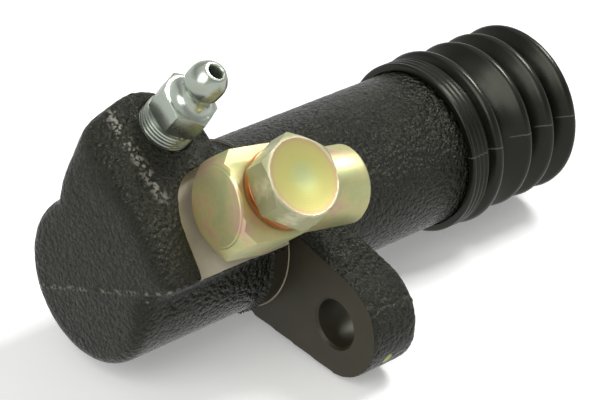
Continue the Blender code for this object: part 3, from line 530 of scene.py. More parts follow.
line = add(coil, "GeometryNodeSetPosition", {"Geometry": line.outputs[0], "Position": spot.outputs[0]})
line = add(coil, "GeometryNodeSetCurveNormal", {"Curve": line.outputs[0]}, mode="Z_UP")
wire = add(coil, "GeometryNodeCurvePrimitiveCircle", {"Resolution": given["Sides"], "Radius": given["Wire Radius"]})
wire = add(coil, "GeometryNodeCurveToMesh", {"Curve": line.outputs[0], "Profile Curve": wire.outputs[0],
                                             "Fill Caps": True})
wire = add(coil, "GeometryNodeRealizeInstances", {"Geometry": wire.outputs[0]})
wire = add(coil, "GeometryNodeSetMaterial", {"Geometry": wire.outputs[0], "Material": given["Material"]})
add(coil, "NodeGroupOutput", {"Geometry": wire.outputs[0]})
ON_ITS_SIDE = Matrix(((0, 0, 1, 0), (1, 0, 0, 0), (0, 1, 0, 0), (0, 0, 0, 1)))      # its Z on X


def wound(values):
    """Bmesh that the coil's nodes give, with its axis along X."""
    carrier = bpy.data.objects.new("wound", bpy.data.meshes.new("wound"))
    bpy.context.scene.collection.objects.link(carrier)
    step = carrier.modifiers.new("coil", "NODES")
    step.node_group = coil
    for socket in coil.interface.items_tree:
        if socket.in_out == "INPUT":
            step[socket.identifier] = values[socket.name]
    settle(carrier)
    bm = bmesh.new()
    bm.from_mesh(carrier.data)
    bmesh.ops.transform(bm, matrix=ON_ITS_SIDE, verts=bm.verts)
    bpy.data.objects.remove(carrier, do_unlink=True)
    return bm


def hexagon(across_flats, turn_deg):
    """Outline of a hexagon bar, turned from Y."""
    corner = across_flats / sqrt(3)
    return [(corner * cos(radians(turn_deg + 60 * k)), corner * sin(radians(turn_deg + 60 * k))) for k in range(6)]


def soften(target, width, sharp_deg=30):
    """Breaks the piece's edges, as a tumbled or plated part's are."""
    step = target.modifiers.new("broken edges", "BEVEL")
    step.width = width * MM
    step.segments = 2
    step.limit_method = "ANGLE"
    step.angle_limit = radians(sharp_deg)
    settle(target)
    target.data.shade_smooth()
    target.data.set_sharp_from_angle(angle=radians(sharp_deg))


def gather(name, parts, surface, sharp_deg=35):
    """One object from several that are already in place."""
    bm = bmesh.new()
    for part in parts:
        bm.from_mesh(part.data)
        bpy.data.objects.remove(part, do_unlink=True)
    for face in bm.faces:
        face.material_index = 0
    bmesh.ops.recalc_face_normals(bm, faces=bm.faces)
    mesh = bpy.data.meshes.new(name)
    bm.to_mesh(mesh)
    bm.free()
    mesh.shade_smooth()
    mesh.set_sharp_from_angle(angle=radians(sharp_deg))
    mesh.materials.append(surface)
    made = bpy.data.objects.new(name, mesh)
    bpy.context.scene.collection.objects.link(made)
    return made


hexagon_r = BLEEDER_HEX_AF / sqrt(3)
head = piece("bleeder_hexagon", extruded(hexagon(BLEEDER_HEX_AF, -2.7), BLEEDER_HEX_X, BLEEDER_HEX_TOP), on_bleeder)
crown = [(BLEEDER_HEX_X, 0), (BLEEDER_HEX_X, hexagon_r - 0.5), (BLEEDER_HEX_X + 0.35, hexagon_r + 0.1),
         (BLEEDER_HEX_TOP - 0.42, hexagon_r + 0.1), (BLEEDER_HEX_TOP, BLEEDER_HEX_AF / 2 - 0.1), (BLEEDER_HEX_TOP, 0)]
combine(head, piece("bleeder_crown", turned(crown), on_bleeder), "INTERSECT")
soften(head, 0.08)
cone = [(-THREAD_LENGTH - 0.9, 0), (-THREAD_LENGTH - 0.9, 1.2), (-THREAD_LENGTH + 2.4, 4.0),
        (-THREAD_LENGTH + 3.0, 4.5)]
neck = [(2.55, 4.5), (2.75, 4.2), (3.7, 4.2), (8.0, 4.4), (8.32, 4.35), (8.5, 3.85), (8.8, 3.4), (9.2, 3.0),
        (9.7, 2.74), (10.2, 2.62), (10.9, 2.6)]
nipple = [(11.2, 2.66), (11.5, 2.85), (11.8, 3.2), (12.0, 3.4), (12.25, 3.5), (13.7, 3.52), (14.2, 3.48), (14.8, 3.34),
          (15.0, 3.28), (15.6, 2.95), (16.1, 2.6), (16.45, 2.3), (16.62, 2.1), (NIPPLE_END, 1.9)]
way = [(NIPPLE_END, 1.55), (NIPPLE_END - 0.2, 1.4), (NIPPLE_END - 0.9, 1.35), (2.4, 1.3), (2.4, 0)]
stem = cone + neck + nipple + way
thread_run = 2.4 + THREAD_LENGTH - 3.0
thread = wound({"Turns": thread_run / THREAD_PITCH, "Steps per Turn": 40.0, "Length": thread_run, "End Rise": 0.4,
                "Start Radius": THREAD_R - THREAD_RIDGE_R, "End Radius": THREAD_R - THREAD_RIDGE_R,
                "Wire Radius": THREAD_RIDGE_R, "Sides": 8, "Material": silver_zinc})
bmesh.ops.translate(thread, vec=(-THREAD_LENGTH + 3.0, 0, 0), verts=thread.verts)
bleeder = gather("bleeder", [head, piece("bleeder_stem", turned(stem), on_bleeder),
                             piece("bleeder_thread", thread, on_bleeder)], silver_zinc)
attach(bleeder, "bleeder")
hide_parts("bleeder_screw")


# Hydraulic union: a steel bar turned at both ends and milled flat where the washers seal,
# zinc plated with yellow passivate. The pipe screws into its far end, on a pressed seat.

UNION_AXIS_HEIGHT = 27.0
UNION_TURN = radians(-9.87)
UNION_NEAR_X = -10.2
UNION_FAR_X = 18.1
UNION_R = 7.0
UNION_SIDE_R = 8.3
UNION_TOP_FLAT = 4.9
UNION_BOTTOM_FLAT = -6.7
BOLT_HOLE_R = 5.3

# Zinc plating under yellow passivate: brass yellow that drifts to green and to pink with
# the film's thickness, with a satin shine and a faint haze in it.
yellow_zinc, tree, place = finish_of("yellow_zinc")
film = add(tree, "ShaderNodeTexNoise", {"Vector": place, "Scale": 1 / (6 * MM), "Detail": 6.0, "Roughness": 0.6,
                                        "Distortion": 0.25})
tone = add(tree, "ShaderNodeValToRGB", {"Fac": film.outputs["Fac"]})
stops = tone.color_ramp.elements
for stop, code in ((0.45, "#cfc791"), (0.58, "#bcc18d")):
    stops.new(stop).color = linear(code)
stops[0].position, stops[0].color = 0.32, linear("#d3b39a")
stops[-1].position, stops[-1].color = 0.72, linear("#d0c798")
haze = add(tree, "ShaderNodeTexNoise", {"Vector": place, "Scale": 1 / (1.2 * MM), "Detail": 4.0})
sheen = add(tree, "ShaderNodeMapRange", {"Value": haze.outputs["Fac"], "To Min": 0.4, "To Max": 0.54})
relief = add(tree, "ShaderNodeBump", {"Height": haze.outputs["Fac"], "Strength": 0.12, "Distance": 0.04 * MM})
shader = add(tree, "ShaderNodeBsdfPrincipled", {"Base Color": tone.outputs["Color"], "Metallic": 0.72,
                                                "Roughness": sheen.outputs[0], "Normal": relief.outputs["Normal"]})
add(tree, "ShaderNodeOutputMaterial", {"Surface": shader.outputs["BSDF"]})

union_centre = UNION_FOOT + UNION_AXIS_HEIGHT * UNION_UP
UNION_ALONG = cos(UNION_TURN) * ALONG_BORE + sin(UNION_TURN) * UNION_ACROSS
in_union = stand(union_centre, UNION_ALONG, UNION_UP.cross(UNION_ALONG))
over_union = stand(union_centre, UNION_UP, UNION_ALONG)
bar = [(UNION_NEAR_X, 0), (UNION_NEAR_X, UNION_R - 0.15), (UNION_NEAR_X + 0.15, UNION_R), (UNION_FAR_X - 0.8, UNION_R),
       (UNION_FAR_X, UNION_R - 0.6), (UNION_FAR_X, 0)]
union = piece("union", turned(bar, 128), in_union)
plan = [(UNION_NEAR_X + 0.32, -UNION_SIDE_R), *arc((0.0, 0.0), UNION_SIDE_R, -90, 90, 48),
        (UNION_NEAR_X + 0.32, UNION_SIDE_R)]
eye = piece("union_eye", extruded(plan, UNION_BOTTOM_FLAT - 0.6, UNION_TOP_FLAT + 1.3), over_union)
nose = [(UNION_NEAR_X, 0), (UNION_NEAR_X, UNION_R - 0.05), (UNION_NEAR_X + 4.4, UNION_R + 4.6),
        (UNION_SIDE_R + 2.0, UNION_R + 4.6), (UNION_SIDE_R + 2.0, 0)]
combine(eye, piece("union_nose", turned(nose, 120), in_union), "INTERSECT")
combine(union, eye, "UNION")
for low, high, end in ((UNION_TOP_FLAT, 14.0, 9.23), (-14.0, UNION_BOTTOM_FLAT, 9.2)):
    flat = extruded([(-12.0, low), (12.0, low), (12.0, high), (-12.0, high)], UNION_NEAR_X + 0.7, end)
    combine(union, piece("union_flat", flat, in_union), "DIFFERENCE")
combine(union, piece("union_drill", turned(rod(-14.0, 14.0, BOLT_HOLE_R), 80), over_union), "DIFFERENCE")
port = [(3.0, 0), (3.0, 1.5), (6.1, 1.5), (6.1, 3.3), (8.6, 3.3), (8.6, 4.6), (UNION_FAR_X - 0.6, 4.6),
        (UNION_FAR_X + 0.4, 5.6), (UNION_FAR_X + 0.4, 0)]
combine(union, piece("union_port", turned(port, 80), in_union), "DIFFERENCE")
soften(union, 0.12, 28)
union = gather("union", [union], yellow_zinc, 28)
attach(union, "housing")
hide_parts("union_body")

# Plain turned steel with a light film of oil: mid grey, with the fine grain of the tool.
turned_steel, tree, place = finish_of("turned_steel")
grain = add(tree, "ShaderNodeTexNoise", {"Vector": place, "Scale": 1 / (0.5 * MM), "Detail": 3.0})
tone = add(tree, "ShaderNodeMix", {0: grain.outputs["Fac"], 6: linear("#8a8a86"), 7: linear("#a9a8a2")},
           data_type="RGBA")
relief = add(tree, "ShaderNodeBump", {"Height": grain.outputs["Fac"], "Strength": 0.15, "Distance": 0.03 * MM})
shader = add(tree, "ShaderNodeBsdfPrincipled", {"Base Color": tone.outputs[2], "Metallic": 1.0, "Roughness": 0.36,
                                                "Normal": relief.outputs["Normal"]})
add(tree, "ShaderNodeOutputMaterial", {"Surface": shader.outputs["BSDF"]})
frame["nodes"]["tube_seat"].material_slots[0].material = turned_steel


# Sealing washers: two rings stamped from soft copper sheet, one under the union and one
# under the bolt head, squeezed flat when the bolt is tightened.

WASHER_R = 7.25
WASHER_THICKNESS = 1.3

# Annealed copper: orange pink, dulled in places by handling.
copper, tree, place = finish_of("copper")
dull = add(tree, "ShaderNodeTexNoise", {"Vector": place, "Scale": 1 / (2.5 * MM), "Detail": 3.0})
tone = add(tree, "ShaderNodeMix", {0: dull.outputs["Fac"], 6: linear("#b06c48"), 7: linear("#cf9068")},
           data_type="RGBA")
relief = add(tree, "ShaderNodeBump", {"Height": dull.outputs["Fac"], "Strength": 0.1, "Distance": 0.05 * MM})
shader = add(tree, "ShaderNodeBsdfPrincipled", {"Base Color": tone.outputs[2], "Metallic": 1.0, "Roughness": 0.34,
                                                "Normal": relief.outputs["Normal"]})
add(tree, "ShaderNodeOutputMaterial", {"Surface": shader.outputs["BSDF"]})

for node, height in (("union_washer_lower", 18.55), ("union_washer_upper", 32.05)):
    top = height + WASHER_THICKNESS + 0.3
    rim = [(height, BOLT_HOLE_R + 0.1), (height, WASHER_R - 0.2), (height + 0.12, WASHER_R - 0.05),
           (height + 0.4, WASHER_R), (top - 0.4, WASHER_R), (top - 0.12, WASHER_R - 0.05), (top, WASHER_R - 0.2),
           (top, BOLT_HOLE_R + 0.1), (top - 0.15, BOLT_HOLE_R), (height + 0.15, BOLT_HOLE_R)]
    washer = piece(f"{node}_ring", turned(rim), on_union)
    washer.data.materials.append(copper)
    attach(washer, "housing")
    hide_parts(node)


# Hollow bolt: hexagon steel bar, turned, cross drilled and yellow zinc plated. It clamps
# the union to the casting and lets the fluid through.

BOLT_AF = 14.0
BOLT_HEAD_X = 33.8
BOLT_TOP_X = 39.5
BOLT_TIP_X = 12.5
BOLT_R = 5.0

# The same plating on the bolt: the film is thickest on the turned face, so that is yellow
# with a green middle, an orange rim and the tool's rings. Further out, a cream ring on the
# chamfer is a painted highlight, and the rolled flats are olive, partly their own film and
# partly painted shade.
bolt_zinc, tree, place = finish_of("yellow_zinc_on_bolt")
haze = add(tree, "ShaderNodeTexNoise", {"Vector": place, "Scale": 1 / (1.2 * MM), "Detail": 4.0})
out = add(tree, "ShaderNodeVectorMath", {0: place, 1: tuple(UNION_FOOT * MM)}, operation="SUBTRACT")
out = add(tree, "ShaderNodeVectorMath", {0: out.outputs["Vector"], 1: tuple(UNION_UP)}, operation="CROSS_PRODUCT")
out = add(tree, "ShaderNodeVectorMath", {0: out.outputs["Vector"]}, operation="LENGTH").outputs["Value"]
drift = add(tree, "ShaderNodeMath", {0: haze.outputs["Fac"], 1: 0.8 * MM, 2: out}, operation="MULTIPLY_ADD").outputs[0]
part_way = add(tree, "ShaderNodeMapRange", {"Value": drift, "From Min": 0.0, "From Max": 9.0 * MM}).outputs[0]
tone = add(tree, "ShaderNodeValToRGB", {"Fac": part_way})
stops = tone.color_ramp.elements
# cream at 0.80 is a painted highlight on the chamfer; olive at 0.85 is partly painted shade on the flats
for stop, code in ((0.30, "#c4c884"), (0.42, "#c8c478"), (0.69, "#c8c078"), (0.765, "#ccae84"), (0.80, "#dcd8b4")):
    stops.new(stop).color = linear(code)
stops[0].position, stops[0].color = 0.1, linear("#bfc890")
stops[-1].position, stops[-1].color = 0.85, linear("#abab84")
rings = add(tree, "ShaderNodeMath", {0: out, 1: 2 * pi / (0.45 * MM)}, operation="MULTIPLY").outputs[0]
rings = add(tree, "ShaderNodeMath", {0: rings}, operation="SINE").outputs[0]
sheen = add(tree, "ShaderNodeMapRange", {"Value": haze.outputs["Fac"], "To Min": 0.4, "To Max": 0.52})
relief = add(tree, "ShaderNodeBump", {"Height": rings, "Strength": 0.12, "Distance": 0.02 * MM})
relief = add(tree, "ShaderNodeBump", {"Height": haze.outputs["Fac"], "Strength": 0.12, "Distance": 0.04 * MM,
                                      "Normal": relief.outputs["Normal"]})
shader = add(tree, "ShaderNodeBsdfPrincipled", {"Base Color": tone.outputs["Color"], "Metallic": 0.72,
                                                "Roughness": sheen.outputs[0], "Normal": relief.outputs["Normal"]})
add(tree, "ShaderNodeOutputMaterial", {"Surface": shader.outputs["BSDF"]})

corner_r = BOLT_AF / sqrt(3)
bolt = piece("union_bolt", extruded(hexagon(BOLT_AF, 82.05), BOLT_HEAD_X, BOLT_TOP_X), on_union)
crown = [(BOLT_HEAD_X, 0), (BOLT_HEAD_X, BOLT_AF / 2 + 0.2), (BOLT_HEAD_X + 0.35, corner_r + 0.3),
         (BOLT_TOP_X - tan(radians(30)) * (corner_r + 0.3 - BOLT_AF / 2 + 0.25), corner_r + 0.3),
         (BOLT_TOP_X, BOLT_AF / 2 - 0.25), (BOLT_TOP_X - 0.08, BOLT_AF / 2 - 0.5), (BOLT_TOP_X - 0.08, 4.3),
         (BOLT_TOP_X - 0.12, 4.1), (BOLT_TOP_X - 0.12, 2.2), (BOLT_TOP_X - 0.16, 2.0), (BOLT_TOP_X - 0.16, 0)]
combine(bolt, piece("bolt_crown", turned(crown, 120), on_union), "INTERSECT")
shank = [(BOLT_TIP_X, 0), (BOLT_TIP_X, BOLT_R - 0.8), (BOLT_TIP_X + 0.8, BOLT_R), (BOLT_HEAD_X + 0.5, BOLT_R),
         (BOLT_HEAD_X + 0.5, 0)]
combine(bolt, piece("bolt_shank", turned(shank, 64), on_union), "UNION")
way = [(BOLT_TIP_X - 1, 0), (BOLT_TIP_X - 1, 1.7), (UNION_AXIS_HEIGHT + 2, 1.7), (UNION_AXIS_HEIGHT + 3, 0)]
combine(bolt, piece("bolt_way", turned(way, 32), on_union), "DIFFERENCE")
cross = stand(UNION_FOOT + (UNION_AXIS_HEIGHT - 1.13) * UNION_UP, UNION_ALONG, UNION_UP)
combine(bolt, piece("bolt_cross", turned(rod(-8.1, 8.3, 1.37), 32), cross), "DIFFERENCE")
soften(bolt, 0.12, 25)
bolt = gather("union_bolt", [bolt], bolt_zinc, 24)
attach(bolt, "housing")
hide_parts("banjo_bolt")


# Return spring: a cone of spring wire with its end turns closed, wide at the bottom of the
# bore. It keeps the piston's cup against the rod, and squeezes as the piston goes in.

SPRING_WIRE_R = 0.6
SPRING_START_X = -25.1
SPRING_END_X = 19.7

# Oil-tempered spring wire: dark blue grey with a thin dry scale.
spring_steel, tree, place = finish_of("spring_steel")
scale = add(tree, "ShaderNodeTexNoise", {"Vector": place, "Scale": 1 / (0.8 * MM), "Detail": 3.0})
tone = add(tree, "ShaderNodeMix", {0: scale.outputs["Fac"], 6: linear("#45474a"), 7: linear("#6b6b69")},
           data_type="RGBA")
relief = add(tree, "ShaderNodeBump", {"Height": scale.outputs["Fac"], "Strength": 0.15, "Distance": 0.03 * MM})
shader = add(tree, "ShaderNodeBsdfPrincipled", {"Base Color": tone.outputs[2], "Metallic": 1.0, "Roughness": 0.4,
                                                "Normal": relief.outputs["Normal"]})
add(tree, "ShaderNodeOutputMaterial", {"Surface": shader.outputs["BSDF"]})

wire = wound({"Turns": 8.0, "Steps per Turn": 36.0, "Length": SPRING_END_X - SPRING_START_X,
              "End Rise": 2.16 * SPRING_WIRE_R, "Start Radius": 7.6, "End Radius": 4.6,
              "Wire Radius": SPRING_WIRE_R, "Sides": 10, "Material": spring_steel})
spring = piece("spring", wire, Matrix.Translation((SPRING_START_X, 0, 0)))
spring.data.materials.append(spring_steel)
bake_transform(spring)
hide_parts("return_spring")


# Piston, its two rubber cups and the spring's seat: the piston is turned from aluminium
# bar, the seat is moulded nylon, and the cups are moulded rubber with lips that hold fluid.

PISTON_IN_X = 25.4

# Turned aluminium: pale, with a soft shine and rings from the tool, drawn 2.5 mm apart
# because the real ones are too fine to show.
turned_aluminium, tree, place = finish_of("turned_aluminium")
lines = add(tree, "ShaderNodeTexWave", {"Vector": place, "Scale": 1 / (20 * 0.4 * MM), "Distortion": 0.3},
            wave_type="BANDS", bands_direction="X")
tone = add(tree, "ShaderNodeMix", {0: lines.outputs["Fac"], 6: linear("#bdbebd"), 7: linear("#d2d3d2")},
           data_type="RGBA")
relief = add(tree, "ShaderNodeBump", {"Height": lines.outputs["Fac"], "Strength": 0.2, "Distance": 0.02 * MM})
shader = add(tree, "ShaderNodeBsdfPrincipled", {"Base Color": tone.outputs[2], "Metallic": 1.0, "Roughness": 0.35,
                                                "Normal": relief.outputs["Normal"]})
add(tree, "ShaderNodeOutputMaterial", {"Surface": shader.outputs["BSDF"]})
frame["nodes"]["piston"].material_slots[0].material = turned_aluminium

# Moulded nylon in its natural colour: ivory, waxy, slightly see-through at its edges.
nylon, tree, place = finish_of("natural_nylon")
flow = add(tree, "ShaderNodeTexNoise", {"Vector": place, "Scale": 1 / (3 * MM), "Detail": 2.0})
tone = add(tree, "ShaderNodeMix", {0: flow.outputs["Fac"], 6: linear("#d3ccb5"), 7: linear("#e4dec9")},
           data_type="RGBA")
shader = add(tree, "ShaderNodeBsdfPrincipled", {"Base Color": tone.outputs[2], "Roughness": 0.45,
                                                "Subsurface Weight": 0.1})
add(tree, "ShaderNodeOutputMaterial", {"Surface": shader.outputs["BSDF"]})
frame["nodes"]["cup_spreader"].material_slots[0].material = nylon

# Moulded rubber: black with a warm cast, a soft sheen on its crests and a little bloom,
# and a thin raised line of flash where the two mould halves met, painted paler on the outer
# folds as a painted highlight.
FLASH_ANGLE_DEG = 163.0   # where the boot's two mould halves met, counted from +Y
rubber, tree, place = finish_of("moulded_rubber")
bloom = add(tree, "ShaderNodeTexNoise", {"Vector": place, "Scale": 1 / (5 * MM), "Detail": 4.0})
fine = add(tree, "ShaderNodeTexNoise", {"Vector": place, "Scale": 1 / (0.5 * MM), "Detail": 3.0})
square_to_flash = tuple(around_bore(FLASH_ANGLE_DEG - 90))
off_flash = add(tree, "ShaderNodeVectorMath", {0: place, 1: square_to_flash}, operation="DOT_PRODUCT").outputs["Value"]
off_flash = add(tree, "ShaderNodeMath", {0: off_flash}, operation="ABSOLUTE").outputs[0]
flash_ridge_and_highlight = add(tree, "ShaderNodeMapRange", {"Value": off_flash, "From Min": 0.06 * MM, "From Max": 0.16 * MM,
                                        "To Min": 1.0, "To Max": 0.0})
out = add(tree, "ShaderNodeVectorMath", {0: place, 1: tuple(ALONG_BORE)}, operation="CROSS_PRODUCT")
out = add(tree, "ShaderNodeVectorMath", {0: out.outputs["Vector"]}, operation="LENGTH").outputs["Value"]
out = add(tree, "ShaderNodeMapRange", {"Value": out, "From Min": 13.9 * MM, "From Max": 14.9 * MM})
flash_ridge_and_highlight = add(tree, "ShaderNodeMath", {0: flash_ridge_and_highlight.outputs[0], 1: out.outputs[0]}, operation="MULTIPLY")
tone = add(tree, "ShaderNodeMix", {0: bloom.outputs["Fac"], 6: linear("#090908"), 7: linear("#12120e")},
           data_type="RGBA")
# the flash line is painted paler here: a painted highlight where light would catch the raised flash
tone = add(tree, "ShaderNodeMix", {0: flash_ridge_and_highlight.outputs[0], 6: tone.outputs[2], 7: linear("#4e4b41")}, data_type="RGBA")
sheen = add(tree, "ShaderNodeMapRange", {"Value": bloom.outputs["Fac"], "To Min": 0.2, "To Max": 0.36})
relief = add(tree, "ShaderNodeBump", {"Height": fine.outputs["Fac"], "Strength": 0.15, "Distance": 0.03 * MM})
relief = add(tree, "ShaderNodeBump", {"Height": flash_ridge_and_highlight.outputs[0], "Strength": 0.7, "Distance": 0.12 * MM,
                                      "Normal": relief.outputs["Normal"]})
shader = add(tree, "ShaderNodeBsdfPrincipled", {"Base Color": tone.outputs[2], "Roughness": sheen.outputs[0],
                                                "Specular IOR Level": 0.4, "Specular Tint": (0.97, 1.0, 0.82, 1.0),
                                                "Normal": relief.outputs["Normal"]})
add(tree, "ShaderNodeOutputMaterial", {"Surface": shader.outputs["BSDF"]})

cup_base = PISTON_IN_X - 0.3
primary = [(cup_base, 0), (cup_base, 8.2), (cup_base - 0.25, 8.45), (cup_base - 3.6, 9.1), (cup_base - 4.2, 9.22),
           (cup_base - 4.8, 9.22), (cup_base - 5.0, 9.05), (cup_base - 5.0, 8.75), (cup_base - 4.6, 8.4),
           (cup_base - 2.4, 6.95), (cup_base - 2.0, 6.6), (cup_base - 2.0, 0)]
secondary = [(41.1, 7.575), (41.1, 8.5), (40.9, 8.75), (38.7, 9.2), (38.3, 9.22), (38.1, 9.1), (38.1, 8.65),
             (38.4, 8.4), (39.5, 8.05), (39.5, 7.95), (38.3, 7.8), (38.1, 7.7), (38.1, 7.575)]
for name, node, line in (("inner_cup", "primary_cup", primary), ("outer_cup", "secondary_cup", secondary)):
    cup = piece(name, turned(line))
    cup.data.materials.append(rubber)
    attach(cup, "piston_group")
    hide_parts(node)


# Snap ring and pushrod: the ring is black spring steel that springs into the bore's groove
# and stops the piston. The rod's ball turns in the piston, and its domed end meets the fork.

# Spring steel blackened in hot salts: dark grey, even, with a dull sheen.
black_steel, tree, place = finish_of("blackened_steel")
oxide = add(tree, "ShaderNodeTexNoise", {"Vector": place, "Scale": 1 / (1.5 * MM), "Detail": 3.0})
tone = add(tree, "ShaderNodeMix", {0: oxide.outputs["Fac"], 6: linear("#2c2c2d"), 7: linear("#444443")},
           data_type="RGBA")
shader = add(tree, "ShaderNodeBsdfPrincipled", {"Base Color": tone.outputs[2], "Metallic": 0.8, "Roughness": 0.45})
add(tree, "ShaderNodeOutputMaterial", {"Surface": shader.outputs["BSDF"]})
frame["nodes"]["snap_ring"].material_slots[0].material = black_steel

BALL_X = 38.5
BALL_R = 5.0
ROD_R = 4.0
ROD_TIP_X = 85.4
BOOT_NECK_X = 79.6
ball = [(BALL_X - BALL_R * cos(a), BALL_R * sin(a)) for a in np.linspace(0.0, 2.214, 24)]
dome = [(ROD_TIP_X - ROD_R + ROD_R * sin(a), ROD_R * cos(a)) for a in np.linspace(0, pi / 2, 16)[:-1]]
groove = [(BOOT_NECK_X, ROD_R), (BOOT_NECK_X, ROD_R - 0.7), (BOOT_NECK_X + 2.2, ROD_R - 0.7),
          (BOOT_NECK_X + 2.2, ROD_R)]
pushrod = piece("fork_rod", turned([(ball[0][0], 0), *ball[1:], *groove, *dome, (ROD_TIP_X, 0)]))
pushrod.data.materials.append(turned_steel)
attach(pushrod, "pushrod")
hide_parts("pushrod")


# Dust boot: moulded rubber bellows with four folds. Its collar snaps over the tube's
# groove, its neck grips the rod, and the folds close up as the piston goes in.

BOOT_START_X = 46.7
COLLAR_END_X = 50.9
COLLAR_R = 16.9
FOLDS = ((54.0, 17.4), (62.7, 16.8), (69.05, 16.8), (75.4, 16.8))
CREST = 1.1
VALLEY_R = 12.5
WALL = 1.5
SEAM_X = 77.7             # where the folds end and the cone round the rod begins

outside = [(BOOT_START_X, COLLAR_R - 0.45), (BOOT_START_X + 0.15, COLLAR_R - 0.1), (BOOT_START_X + 0.4, COLLAR_R)]
for rib_x in (47.5, 48.6, 49.7, 50.6):      # fine ribs moulded round the collar
    outside += [(rib_x - 0.1, COLLAR_R), (rib_x + 0.15, COLLAR_R - 0.28), (rib_x + 0.45, COLLAR_R - 0.28),
                (rib_x + 0.7, COLLAR_R)]
outside[-1] = (COLLAR_END_X + 0.4, COLLAR_R - 0.6)
outside += [(COLLAR_END_X + 0.7, COLLAR_R - 1.6), (COLLAR_END_X + 1.1, COLLAR_R - 2.0),
            (COLLAR_END_X + 1.6, COLLAR_R - 1.5)]
for k, (x, r) in enumerate(FOLDS):
    if k:
        before = FOLDS[k - 1][0]
        low, high = before + 0.36 * (x - before), before + 0.46 * (x - before)
        outside += [(low - 0.35, VALLEY_R + 0.75), (low, VALLEY_R + 0.1), (0.5 * (low + high), VALLEY_R),
                    (high, VALLEY_R + 0.1), (high + 0.4, VALLEY_R + 0.5)]
        middle = 0.5 * (high + x - CREST)
        outside.append((middle, 0.5 * (VALLEY_R + r - CREST) + 0.35))
    outside += [(x + CREST * sin(a), r - CREST + CREST * cos(a)) for a in np.radians((*range(-75, 76, 25), 95))]
outside.append((SEAM_X, 13.6))
inside = [(SEAM_X - 1.1, 13.4)]
for k in range(len(FOLDS) - 1, -1, -1):
    x, r = FOLDS[k]
    inside += [(x + 0.25, r - WALL), (x - 0.25, r - WALL)]
    if k:
        before = FOLDS[k - 1][0]
        inside += [(before + (x - before) * part, VALLEY_R - WALL) for part in (0.44, 0.38)]
groove_end, bead, snug = 50.7, TUBE_R - 0.9, TUBE_R + 0.3
inside += [(MOUTH_X + 0.9, snug - 0.2), (groove_end, snug), (groove_end, bead), (48.9, bead), (48.9, snug),
           (BOOT_START_X, snug)]
bellows = piece("boot_bellows", turned(outside + inside, 160), sharp_deg=50)
bellows.data.materials.append(rubber)
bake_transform(bellows)
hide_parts("dust_boot")

neck = [(SEAM_X, 13.6), (78.0, 12.2), (78.4, 10.6), (78.8, 9.2), (79.2, 7.6), (79.5, 6.8), (79.9, 6.4),
        (82.8, 6.0), (83.2, 5.95), (83.4, 5.75), (83.4, 4.3), (81.5, 4.3), (80.9, 3.6), (80.5, 3.6), (79.9, 4.3),
        (79.0, 5.3), (78.3, 7.6), (77.6, 10.4), (77.0, 12.2), (SEAM_X - 1.1, 13.4)]
boot_end = piece("boot_neck", turned(neck, 160), sharp_deg=50)
boot_end.data.materials.append(rubber)
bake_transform(boot_end)
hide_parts("dust_boot")


# Floor, lamps and camera: a pale sheet under the part, two soft lamps above it, one over
# the boot and a wider one over the closed end, and a long lens at the photograph's angle.

FLOOR_Z = -18.2
PHOTO_WIDTH = 600         # pixels
PHOTO_FOCAL = 2463.458    # pixels

floor_mesh = bmesh.new()
bmesh.ops.create_grid(floor_mesh, x_segments=1, y_segments=1, size=4000.0)
floor = piece("floor", floor_mesh, Matrix.Translation((0, 0, FLOOR_Z)))

# White paper: matt, and a little brighter where the camera or a bright metal sees it.
paper, tree, place = finish_of("white_paper")
rays = add(tree, "ShaderNodeLightPath")
seen = add(tree, "ShaderNodeMath", {0: rays.outputs["Is Glossy Ray"], 1: rays.outputs["Is Transmission Ray"]},
           operation="MAXIMUM")
sheet = add(tree, "ShaderNodeBsdfDiffuse", {"Color": linear("#f4f4f2")})
glow = add(tree, "ShaderNodeEmission", {"Color": linear("#ffffff"), "Strength": 0.8})
lift = add(tree, "ShaderNodeEmission", {"Color": linear("#ffffff"), "Strength": 0.25})
lifted = add(tree, "ShaderNodeAddShader", {0: sheet.outputs[0], 1: lift.outputs[0]})
mixed = add(tree, "ShaderNodeMixShader", {0: rays.outputs["Is Camera Ray"], 1: sheet.outputs[0],
                                          2: lifted.outputs[0]})
mixed = add(tree, "ShaderNodeMixShader", {0: seen.outputs[0], 1: mixed.outputs[0], 2: glow.outputs[0]})
add(tree, "ShaderNodeOutputMaterial", {"Surface": mixed.outputs[0]})
floor.data.materials.append(paper)
floor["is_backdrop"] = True

# The room: white to the camera, a plain soft light on matt surfaces, and for metal and
# gloss walls that are pale at the level of the part, grey higher up and pale on top.
world = bpy.data.worlds.new("studio")
bpy.context.scene.world = world
world.use_nodes = True
world.node_tree.nodes.clear()
rays = add(world.node_tree, "ShaderNodeLightPath")
seen = add(world.node_tree, "ShaderNodeMath", {0: rays.outputs["Is Glossy Ray"],
                                               1: rays.outputs["Is Transmission Ray"]}, operation="MAXIMUM")
room = add(world.node_tree, "ShaderNodeTexCoord").outputs["Generated"]
room = add(world.node_tree, "ShaderNodeSeparateXYZ", {"Vector": room}).outputs["Z"]
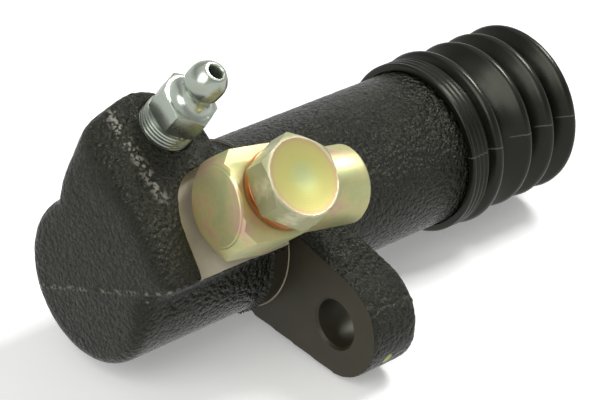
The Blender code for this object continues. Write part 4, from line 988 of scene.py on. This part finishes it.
room = add(world.node_tree, "ShaderNodeMath", {0: room, 1: 0.5, 2: 0.5}, operation="MULTIPLY_ADD").outputs[0]
walls = add(world.node_tree, "ShaderNodeValToRGB", {"Fac": room})
walls.color_ramp.interpolation = "EASE"
stops = walls.color_ramp.elements
for stop, grey in ((0.60, 0.5), (0.80, 0.3)):
    stops.new(stop).color = (grey, grey, grey, 1)
stops[0].position, stops[0].color = 0.5, (1, 1, 1, 1)
stops[-1].position, stops[-1].color = 0.88, (0.75, 0.75, 0.75, 1)
white = add(world.node_tree, "ShaderNodeMix", {0: seen.outputs[0], 2: 0.38, 3: walls.outputs["Color"]})
white = add(world.node_tree, "ShaderNodeMath", {0: white.outputs[0], 1: rays.outputs["Is Camera Ray"]},
            operation="MAXIMUM")
sky = add(world.node_tree, "ShaderNodeBackground", {"Color": linear("#ffffff"), "Strength": white.outputs[0]})
add(world.node_tree, "ShaderNodeOutputWorld", {"Surface": sky.outputs[0]})


def lamp(name, place, size, power):
    """Square lamp that faces the part."""
    light = bpy.data.lights.new(name, "AREA")
    light.size = size
    light.energy = power
    made = bpy.data.objects.new(name, light)
    bpy.context.scene.collection.objects.link(made)
    made.location = place
    made.rotation_euler = (-Vector(place)).to_track_quat("-Z", "Y").to_euler()


lamp("key_lamp", (0.38, -0.06, 0.58), 0.22, 3.5)
lamp("fill_lamp", (-0.60, -0.15, 0.50), 0.60, 3.4)

lens = bpy.data.cameras.new("camera")
lens.sensor_width = 36.0
lens.lens = PHOTO_FOCAL * lens.sensor_width / PHOTO_WIDTH
lens.clip_end = 10.0
camera = bpy.data.objects.new("camera", lens)
bpy.context.scene.collection.objects.link(camera)
right = Vector((0.72615315, -0.68479589, 0.06128771))
down = Vector((-0.30434497, -0.40009313, -0.86446494))
ahead = Vector((0.61650283, 0.60908133, -0.49894307))
turn = Matrix((right, -down, -ahead)).transposed().to_4x4()
camera.matrix_world = Matrix.Translation(Vector((-0.263823, -0.278157, 0.226582))) @ turn
bpy.context.scene.camera = camera
bpy.context.scene.view_settings.view_transform = "Standard"

low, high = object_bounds()
